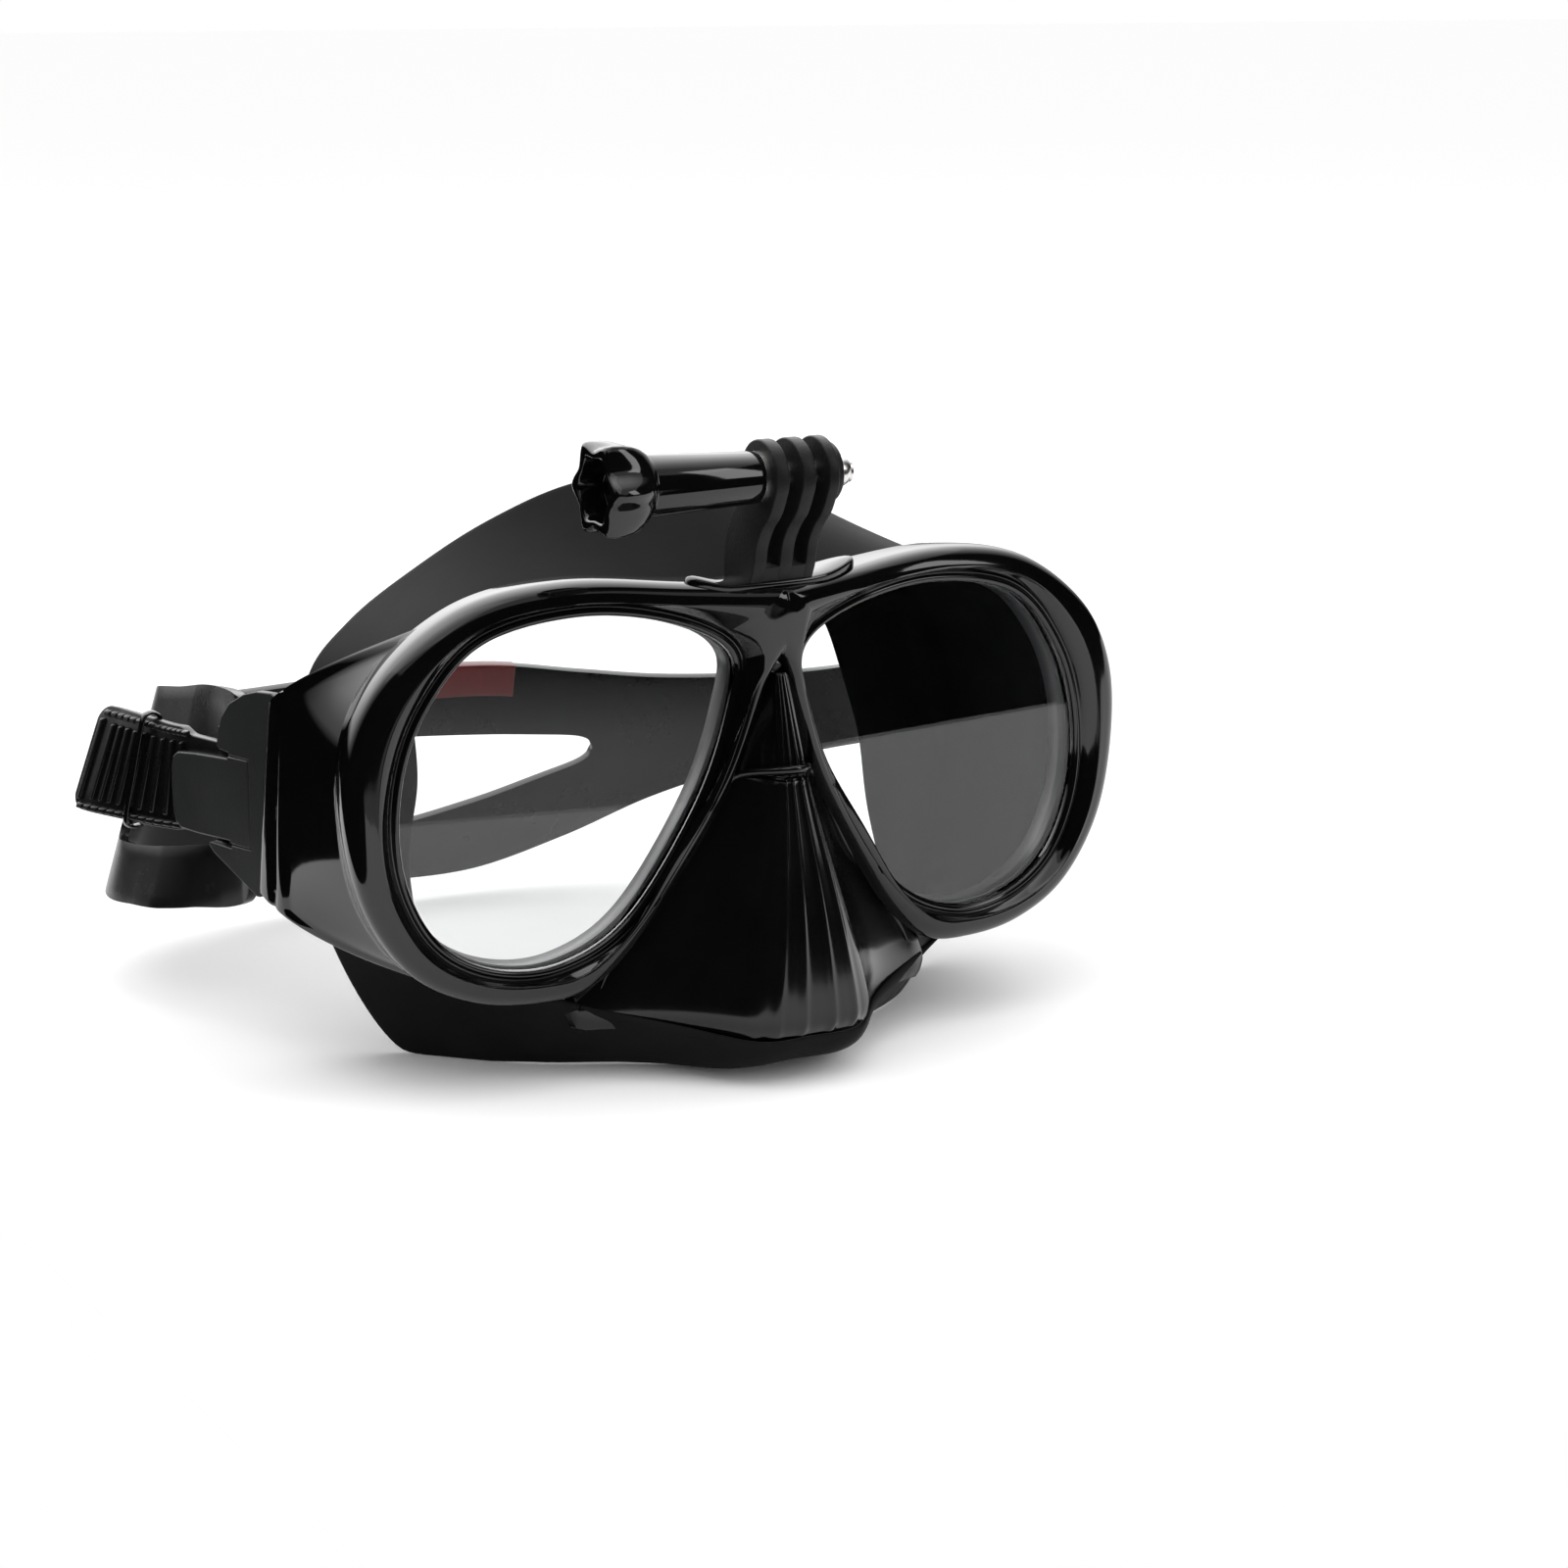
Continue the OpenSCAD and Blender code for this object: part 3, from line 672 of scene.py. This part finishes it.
# Rows of the nose pocket: height, half width and depth at the frame, the same at the ridge
POCKET = [(84.5, 1.5, 4.0, 1.0, 1.2), (78, 4.2, 5.0, 1.6, -0.6), (71, 7.2, 6.0, 2.3, -2.4),
          (64.5, 10.2, 7.0, 3.0, -4.0), (63.0, 10.8, 7.2, 3.2, -4.0), (55, 15.5, 8.5, 4.4, -6.2),
          (45, 21.5, 10.5, 6.3, -8.9), (34, 30.5, 12.5, 8.4, -11.4), (24, 38.5, 13.5, 10.2, -13.0),
          (17, 41.5, 13.0, 11.4, -13.6), (13.7, 41.0, 12.5, 11.6, -13.4), (11.5, 40.0, 13.0, 11.2, -12.2)]
RIDGES = (-0.8, -0.3, 0.3, 0.8)     # across the ridge, in half widths
POCKET_LIP = 63.8                   # the soft pocket starts about here, below the bridge panel
POCKET_STEPS = 6                    # rows between two rows above
FLANK_STEPS = 12
FACE_STEPS = 48                     # across the ridge


def pocket_row(row):
    """One level section: a hollow flank, the ribbed ridge, and the other flank."""
    z, wide, deep, ridge, front = row
    side = [(wide + 2.0, deep + 3.5, z)]
    for k in range(FLANK_STEPS):
        t = k / FLANK_STEPS
        hollow = 0.22 * (wide - ridge) * math.sin(math.pi * t) * (1 - 0.3 * t)
        x = lerp(wide, ridge, t) - hollow * 0.55
        y = lerp(deep, front, t ** 1.15) + hollow * 0.25
        side.append((x, y, z))
    face = []
    for k in range(FACE_STEPS + 1):
        h = 1 - 2 * k / FACE_STEPS
        bump = sum(math.exp(-((h - c) / 0.085) ** 2) for c in RIDGES)
        round_off = 0.18 * ridge * abs(h) ** 4
        face.append((ridge * h, front + round_off - 0.55 * bump * min(1.0, ridge / 3.0), z))
    return side + face + [(-x, y, zz) for x, y, zz in reversed(side)]


def nose_pocket():
    rings = []
    for row in course(POCKET, POCKET_STEPS):
        below = smooth((POCKET_LIP - row[0]) / 0.8)
        rings.append([(x, y - 0.9 * below, z) for x, y, z in pocket_row(row)])
    upper = [r for r in rings if r[0][2] >= POCKET_LIP - 0.9]
    lower = [r for r in rings if r[0][2] <= POCKET_LIP + 0.2]
    for name, part, nodes, mat, slot in (
            ("bridge_panel", upper, ("nose_bridge",), GLOSS, "gloss_black"),
            ("nose_pocket", lower, ("skirt",), GLOSS_SOFT, "skirt_silicone")):
        points, faces = weave(part, ring_closed=False)
        piece = make(name, points, faces, mat, "mask", nodes)
        weld(piece, 0.005)
        add_shell(piece, 1.6, -1.0)


def pocket_bead():
    """A raised bead that arches over the top of the nose pocket and runs down both of its sides."""
    rows = [r for r in course(POCKET, POCKET_STEPS) if 20 < r[0] < 61]
    flank = [pocket_row(r)[2] for r in rows]
    arch = [(8.9, 5.6, 63.2), (7.0, 2.2, 64.3), (4.6, -1.6, 65.0), (2.4, -4.9, 65.5)]
    half = [(p[0], p[1] - 1.2, p[2]) for p in reversed(flank)] + arch
    path = half + [(0, -5.5, 65.6)] + [(-p[0], p[1], p[2]) for p in reversed(half)]
    rings = []
    for i, p in enumerate(path):
        run = Vector(path[min(i + 1, len(path) - 1)]) - Vector(path[max(i - 1, 0)])
        side = run.cross(Vector((0, -1, 0.2))).normalized()
        up = side.cross(run).normalized()
        r = 0.85 * min(1.0, 0.15 + 0.2 * min(i, len(path) - 1 - i))
        rings.append([list(Vector(p) + (side * math.cos(t) + up * math.sin(t)) * r)
                      for t in (2 * math.pi * k / 10 for k in range(10))])
    points, faces = weave(rings, caps=True)
    piece = make("pocket_bead", points, faces, GLOSS_SOFT, "mask", ("skirt",))
    weld(piece, 0.001)
    add_smooth(piece)


# ---------------------------------------------------------------- strap
# Middle line of the band seen from above, from the left roller round the back to the right one
STRAP_PLAN = [(-86, 72), (-86, 77.4), (-86, 80), (-87.5, 100), (-90, 120), (-90, 137),
              (-82, 149.5), (-66, 154.5), (-45, 156), (-20, 156.5), (5, 156), (28, 154),
              (48, 149.5), (67, 141.5), (82, 131), (89.5, 116), (88, 98), (86, 83), (86, 72)]
# At each of its points: how far the band and its slot reach above and below that line
STRAP_UP = [10, 10, 18, 20.5, 20.5, 21, 20, 18.5, 19, 20, 19, 15, 11.5, 9.5, 9, 9.5, 10, 10, 10]
STRAP_DOWN = [10, 10, 26, 28, 27.5, 26, 20, 25, 33, 35, 35, 29, 21, 15.5, 12.5, 10.5, 10, 10, 10]
SLOT_UP = [0, 0, 4, 5, 5, 5, 5, 4, 4, 3, 1, -1.5, -2, 0, 0, 0, 0, 0, 0]
SLOT_DOWN = [0, 0, 14, 14.3, 14.5, 13.8, 15, 19, 22.5, 21, 16.5, 10.5, 8, 0, 0, 0, 0, 0, 0]
SIDE_SLOT = (2.5, 5.25)             # counted in plan points
BACK_SLOT = (7.25, 11.25)
ACCENT = (9.4, 10.31)
TAIL_PLAN = [(94, 72), (96.7, 82), (100.5, 96), (104.5, 110), (107, 119)]
TAIL_STEPS = 16
TAIL_CORNER = 4.0
STRAP_T = 2.2
STRAP_LEAN = math.radians(16)
LOOP_R = 4.0                        # the strap's middle goes round the roller at this radius
BAND_STEPS = 5                      # across each of the two branches
FINE = 24                           # strap steps between two plan points


def middle_z(y):
    """Height of the band's middle line, which sinks towards the back."""
    return PIVOT_Z - 0.19 * max(y - 76, 0)


def lean_at(y):
    """How far the band leans inwards at its top, per mm of height."""
    return math.tan(STRAP_LEAN * min(max((y - 82) / 30, 0), 1))


def normal_at(plan, i):
    """Direction square to the plan line, seen from above."""
    a, b = plan[max(i - 1, 0)], plan[min(i + 1, len(plan) - 1)]
    d = math.hypot(b[0] - a[0], b[1] - a[1])
    return (-(b[1] - a[1]) / d, (b[0] - a[0]) / d)


def on_strap(plan, i, height, base, off=0.0, way=1):
    """A point of the strap, height above its middle line and off from its middle layer."""
    nx, ny = normal_at(plan, i)
    k = off - way * lean_at(plan[i][1]) * height
    return (plan[i][0] + nx * k, plan[i][1] + ny * k, base + height)


def slot_at(u, run, up, down):
    """Lower and upper edge of a slot at u, or None beside it."""
    t = (u - run[0]) / (run[1] - run[0])
    if t <= 0 or t >= 1:
        return None
    grow = math.sqrt(max(0.0, 1 - abs(2 * t - 1) ** 14))
    mid, half = (up - down) / 2, (up + down) / 2
    return mid - half * grow, mid + half * grow


def strap_band():
    plan = course(STRAP_PLAN, FINE)
    up, down = course(STRAP_UP, FINE), course(STRAP_DOWN, FINE)
    s_up, s_down = course(SLOT_UP, FINE), course(SLOT_DOWN, FINE)
    rings = []
    for i, q in enumerate(plan):
        u = i / FINE
        base = middle_z(q[1])
        found = slot_at(u, SIDE_SLOT, s_up[i], s_down[i]) or slot_at(u, BACK_SLOT, s_up[i], s_down[i])
        lo, hi = found or ((s_up[i] - s_down[i]) / 2,) * 2
        heights = [lerp(-down[i], lo, k / BAND_STEPS) for k in range(BAND_STEPS + 1)]
        heights += [lerp(hi, up[i], k / BAND_STEPS) for k in range(BAND_STEPS + 1)]
        rings.append([on_strap(plan, i, h, base) for h in heights])
    points, faces = weave(rings, ring_closed=False)
    keep = [f for f in faces if min(f) % (2 * BAND_STEPS + 2) != BAND_STEPS]
    piece = make("strap_band", points, keep, STRAP, "head_strap", ("strap",))
    weld(piece, 0.01)
    add_shell(piece, STRAP_T, 0.0)
    add_bevel(piece, 0.5, 3, 60)


def on_tail(path, i, gone, height, off=0.0):
    """A point of the tail: its lower edge stands further out and further back."""
    free = smooth((gone - 22) / 14)
    x, y, z = on_strap(path, i, height - 0.6 * free, PIVOT_Z, off, -1)
    return (x - 0.05 * height * free, y - 0.16 * height * free, z)


def strap_tail(side, s):
    """The free end: round the roller, then back along the outside with its corners rounded."""
    turns = [math.radians(a) for a in range(180, 361, 12)]
    turn = [(ROLLER_X + LOOP_R * math.cos(a), ROLLER_Y + LOOP_R * math.sin(a)) for a in turns]
    path = turn + [tuple(p) for p in course(TAIL_PLAN, TAIL_STEPS)[1:]]
    total = [0.0]
    for a, b in zip(path, path[1:]):
        total.append(total[-1] + math.hypot(b[0] - a[0], b[1] - a[1]))
    rings = []
    for i, gone in enumerate(total):
        left = total[-1] - gone
        half = 10.0 + 1.4 * smooth((gone - 22) / 6)
        if left < TAIL_CORNER:
            half -= TAIL_CORNER - math.sqrt(max(0.0, TAIL_CORNER ** 2 - (TAIL_CORNER - left) ** 2))
        rings.append([on_tail(path, i, gone, h * half) for h in (-1, -0.6, -0.2, 0.2, 0.6, 1)])
    points, faces = weave(rings, ring_closed=False)
    piece = make("strap_tail_" + side, points, faces, STRAP, "head_strap", ("strap",),
                 mirror=s == LEFT)
    add_shell(piece, STRAP_T, 0.0)
    add_bevel(piece, 0.5, 3, 60)
    ribs(path, total, side, s)


def ribs(path, total, side, s):
    """Grip ribs across the outside of the tail, inside a raised border."""
    start, end, pitch = 25.0, total[-1] - 5.0, 4.4
    points, faces = [], []
    outer = STRAP_T / 2

    def place(d, height, lift):
        i = max(k for k in range(len(total)) if total[k] <= d + 1e-6)
        i = min(i, len(path) - 2)
        t = (d - total[i]) / (total[i + 1] - total[i])
        a = on_tail(path, i, total[i], height, -(outer + lift))
        b = on_tail(path, i + 1, total[i + 1], height, -(outer + lift))
        return lerp(a, b, t)

    def bar(d0, d1, h0, h1, lift):
        base = len(points)
        for d in (d0, d1):
            for h in (h0, h1):
                points.append(place(d, h, -0.3))
        for d, dd in ((d0, 0.35), (d1, -0.35)):
            for h, hh in ((h0, 0.25), (h1, -0.25)):
                points.append(place(d + dd, h + hh, lift))
        for f in ((0, 1, 3, 2), (4, 6, 7, 5), (0, 4, 5, 1), (1, 5, 7, 3), (3, 7, 6, 2), (2, 6, 4, 0)):
            faces.append(tuple(base + v for v in f))

    d = start
    while d + 1.9 < end:
        bar(d, d + 1.7, -8.4, 8.4, 1.0)
        d += pitch
        pitch = max(pitch - 0.25, 2.9)
    for k in range(14):
        a, b = lerp(start - 2, end + 2.4, k / 14), lerp(start - 2, end + 2.4, (k + 1) / 14)
        bar(a, b + 0.3, 9.3, 10.9, 0.9)
        bar(a, b + 0.3, -10.9, -9.3, 0.9)
    bar(end + 1.6, end + 3.4, -9.0, 9.0, 0.9)
    piece = make("tail_ribs_" + side, points, faces, STRAP, "head_strap", ("strap",),
                 sharp=30, mirror=s == LEFT)
    weld(piece, 0.001)
    add_bevel(piece, 0.3, 2, 30)


def strap_accent():
    plan = course(STRAP_PLAN, FINE)
    up = course(STRAP_UP, FINE)
    rings = []
    for i in range(int(ACCENT[0] * FINE), int(ACCENT[1] * FINE)):
        base = middle_z(plan[i][1])
        hs = [up[i] + 0.2 - 8.0 * k / 6 for k in range(7)]
        rings.append([on_strap(plan, i, h, base) for h in hs])
    points, faces = weave(rings, ring_closed=False)
    piece = make("accent_patch", points, faces, RED, "head_strap", ("strap_accent",))
    add_shell(piece, STRAP_T + 0.5, 0.0)
    add_bevel(piece, 0.2, 2, 60)


def strap():
    strap_band()
    for side, s in SIDES:
        strap_tail(side, s)
    strap_accent()


# ---------------------------------------------------------------- closed solids from outlines
def add_plate(solid, outline, x0, x1):
    """A flat plate across x, drawn as an outline of (y, z), onto a solid of points and faces."""
    points, faces = solid
    base, n = len(points), len(outline)
    points += [(x0, y, z) for y, z in outline] + [(x1, y, z) for y, z in outline]
    faces.append(tuple(base + k for k in range(n)))
    faces.append(tuple(base + n + k for k in reversed(range(n))))
    for k in range(n):
        j = (k + 1) % n
        faces.append((base + j, base + k, base + n + k, base + n + j))


LOBES = 6                           # of the thumb knob


def add_turned(solid, profile, steps=72):
    """Rings round the clamp screw: rows of x, radius and depth of the hollows between lobes."""
    points, faces = solid
    base = len(points)
    rings = []
    for x, r, hollow in profile:
        ring = []
        for k in range(steps):
            a = 2 * math.pi * k / steps
            reach_out = r - hollow * abs(math.sin(LOBES * a / 2)) ** 1.3
            ring.append((x, HOLE_Y + reach_out * math.cos(a), HOLE_Z + reach_out * math.sin(a)))
        rings.append(ring)
    more, quads = weave(rings, caps=True)
    points += more
    faces += [tuple(base + v for v in f) for f in quads]


# ---------------------------------------------------------------- accessory mount and its screw
HEAD_R = 7.5
PRONGS = ((-7.6, -4.6), (-1.5, 1.5), (4.6, 7.0))    # from x to x
FOOT_Z = 99.5                       # lower end of the prongs, inside the foot
SLOT_Z = 107.0                      # bottom of the slots between the prongs


def prong_outline():
    head = [(HOLE_Y + HEAD_R * math.cos(math.radians(a)), HOLE_Z + HEAD_R * math.sin(math.radians(a)))
            for a in range(-25, 206, 7)]
    front = course([head[-1], (-7.6, 118.6), (-4.3, 115.2), (-2.0, 111.5), (-0.9, 107),
                    (0.6, 103.5), (2.2, FOOT_Z)], 5)
    back = course([(11.6, FOOT_Z), (11.3, 108), (10.2, 113), (7.6, 117.6), (5.2, 120.4), head[0]], 5)
    return head + front[1:] + back[:-1]


def accessory_mount():
    solid = ([], [])
    for x0, x1 in PRONGS:
        add_plate(solid, prong_outline(), x0, x1)
    add_plate(solid, [(2.25, FOOT_Z), (11.6, FOOT_Z), (11.35, SLOT_Z), (-0.85, SLOT_Z), (0.65, 103.5)],
              -7.3, 6.8)
    add_turned(solid, [(6.5, 6.1, 0), (8.6, 6.1, 0), (8.9, 5.8, 0)])
    piece = make("clamp_mount", solid[0], solid[1], MATTE, "mask", ("accessory_mount",))
    weld(piece, 0.001)
    add_bevel(piece, 0.45, 3, 50)
    saddle()


def saddle():
    """The foot: its two wings rise to thin tips over the brow. A row holds x, top and half width."""
    rows = [(-19.6, 105.0, 0.8), (-18, 105.6, 2.2), (-15, 104.8, 4.2), (-12, 104.2, 5.6), (-8, 104.4, 6.4),
            (0, 104.4, 6.6), (8, 104.6, 6.4), (12, 105.2, 5.6), (15.5, 106.0, 4.4), (18.5, 106.6, 2.4),
            (20, 106.4, 0.8)]
    rings = []
    for x, top, half in rows:
        ring = []
        for k in range(20):
            a = 2 * math.pi * k / 20
            y = 6.2 + half * math.cos(a) * (1.0 if abs(math.cos(a)) < 0.9 else 0.97)
            z = top - 1.1 + 1.1 * math.sin(a) if math.sin(a) >= 0 else top - 1.1 + 3.2 * math.sin(a)
            ring.append((x, y, z))
        rings.append(ring)
    points, faces = weave(rings, caps=True)
    piece = make("clamp_foot", points, faces, GLOSS, "mask", ("accessory_mount",))
    add_smooth(piece)


KNOB_END = -44.6                    # outer face of the knob, in x


def thumb_knob():
    solid = ([], [])
    add_turned(solid, [(KNOB_END + 5.5, 5.0, 0.2), (KNOB_END + 5.5, 6.0, 0.4), (KNOB_END + 0.5, 6.9, 0.9),
                       (KNOB_END, 7.2, 1.1), (KNOB_END, 9.5, 2.2), (KNOB_END + 0.5, 10.1, 2.4),
                       (KNOB_END + 1.8, 10.4, 2.4), (KNOB_END + 4.0, 10.3, 2.2), (KNOB_END + 6.2, 9.8, 1.7),
                       (KNOB_END + 8.2, 8.9, 1.0), (KNOB_END + 9.7, 7.8, 0.6), (KNOB_END + 10.6, 6.9, 0.1),
                       (KNOB_END + 10.9, 6.3, 0), (KNOB_END + 11.2, 6.05, 0), (KNOB_END + 12.0, 6.2, 0),
                       (KNOB_END + 24, 5.7, 0), (-9.0, 5.3, 0), (-8.62, 4.9, 0)])
    piece = make("lobed_knob", solid[0], solid[1], GLOSS, "thumb_screw", ("thumb_knob",),
                 sharp=50)
    weld(piece, 0.001)
    add_bevel(piece, 0.25, 2, 40)


def dome_nut():
    solid = ([], [])
    add_turned(solid, [(8.4, 4.0, 0), (8.8, 4.2, 0), (9.6, 4.2, 0), (9.9, 3.9, 0), (10.0, 3.35, 0),
                       (11.2, 3.3, 0), (12.2, 2.9, 0), (12.9, 2.1, 0), (13.2, 1.0, 0), (13.25, 0.2, 0)], 48)
    piece = make("round_nut", solid[0], solid[1], STEEL, "mask", ("dome_nut",), sharp=50)
    weld(piece, 0.001)


# ---------------------------------------------------------------- buckles
COVER_X = 88.2                      # the plate's inner face, level with the pivot
COVER_T = 1.9
COVER_LEAN = math.radians(15)       # the plate leans outwards towards its rear end
# Outlines of the outer plate and its tab: back from the pivot, and height
COVER = [(2.6, 76.5), (3.3, 79.6), (5.5, 80.7), (10.5, 80.4), (15, 79.2), (20, 76.6), (23, 73.2),
         (24.6, 69.6), (25, 66.9), (24, 66.2), (21, 65.9), (21, 65.35), (14.2, 65.35),
         (14.2, 46.15), (21, 46.15), (21, 45.4), (28.4, 45.7), (29.0, 44.9), (27.2, 43.4),
         (20, 40), (12.7, 36.5), (11.6, 36.6), (10.4, 40), (9.6, 44), (8, 52), (5, 64), (3, 72)]
TAB = [(14.35, 65.2), (21.2, 65.2), (21.6, 64.6), (33, 64.0), (39, 63.4), (40.8, 62.2),
       (41.5, 59.8), (41.6, 55.5), (41.4, 50.4), (40.6, 47.9), (38.8, 46.8), (33, 46.6),
       (21.6, 46.9), (21.2, 46.3), (14.35, 46.3)]
# Middle line of the loop round the tail: x and height
KEEPER = [(98.2, 66.5), (99.4, 68.9), (101.2, 69.0), (102.3, 67.2), (104.0, 57.0), (105.7, 46.2),
          (105.0, 44.0), (102.9, 43.7), (101.7, 45.2), (99.9, 56.5)]
KEEPER_Y = 99.8


def on_cover(l, m, z):
    """A point of the buckle's outer plate: l outwards from it, m back along it."""
    c, s = math.cos(COVER_LEAN), math.sin(COVER_LEAN)
    return (COVER_X + l * c + m * s, PIVOT_Y - l * s + m * c, z)


def cover_plate(name, outline, body, node, side, s):
    solid = ([], [])
    add_plate(solid, outline, 0.0, COVER_T)
    points = [on_cover(*p) for p in solid[0]]
    piece = make(name + side, points, solid[1], GREY, body, (node + side,), sharp=40,
                 mirror=s == LEFT)
    weld(piece, 0.001)
    add_bevel(piece, 0.55, 3, 30)


def keeper(side, s):
    """A thin loop, snug round the ribbed tail."""
    rings = []
    outline = loop(KEEPER, 5)
    for i, (x, z) in enumerate(outline):
        before, after = outline[i - 1], outline[(i + 1) % len(outline)]
        d = math.hypot(after[0] - before[0], after[1] - before[1])
        nx, nz = (after[1] - before[1]) / d, -(after[0] - before[0]) / d
        ring = []
        for k in range(12):
            a = 2 * math.pi * k / 12
            across, along = 0.5 * math.cos(a), 1.3 * math.sin(a)
            ring.append((x + nx * across, KEEPER_Y + along - 0.16 * (z - PIVOT_Z), z + nz * across))
        rings.append(ring)
    points, faces = weave(rings, chain_closed=True)
    piece = make("tail_keeper_" + side, points, faces, GLOSS, "head_strap", ("strap_keeper_" + side,),
                 mirror=s == LEFT)
    weld(piece, 0.001)
    add_smooth(piece)


def buckles():
    for side, s in SIDES:
        cover_plate("cover_plate_", COVER, "head_strap", "buckle_cover_", side, s)
        cover_plate("lift_tab_", TAB, "tab_" + side, "buckle_tab_", side, s)
        keeper(side, s)


# ---------------------------------------------------------------- carried-over CAD pieces
FINISH = {
    "lens_left": GLASS, "lens_right": GLASS,
    "screw_shank": STEEL, "screw_washer": STEEL,
    "swivel_pin_left": STEEL, "swivel_pin_right": STEEL,
    "buckle_body_left": GLOSS, "buckle_body_right": GLOSS,
    "tab_pin_left": MATTE, "tab_pin_right": MATTE,
    "strap_roller_left": MATTE, "strap_roller_right": MATTE,
    "roller_pin_left": MATTE, "roller_pin_right": MATTE,
}


def finish_nodes():
    for name, material in FINISH.items():
        node = frame["nodes"][name]
        if not node.material_slots:
            node.data.materials.append(material)
        for place in node.material_slots:
            place.material = material


bpy.context.scene.view_settings.view_transform = "Standard"
add_camera()
add_world()
add_softbox("key", (-0.5, -0.35, 1.3), (0, 0, 0.05), 1.3, 0.9, 3)
add_softbox("top", (0.0, -0.2, 1.3), (0, -0.19, 0), 2.2, 2.4, 10)
add_softbox("front_strip", (0.85, -1.0, 0.75), (0, 0, 0.06), 0.35, 0.9, 4)
add_floor()
front_bezel()
inner_frame()
lens_seals()
skirt()
nose_pocket()
pocket_bead()
strap()
accessory_mount()
thumb_knob()
dome_nut()
buckles()
finish_nodes()
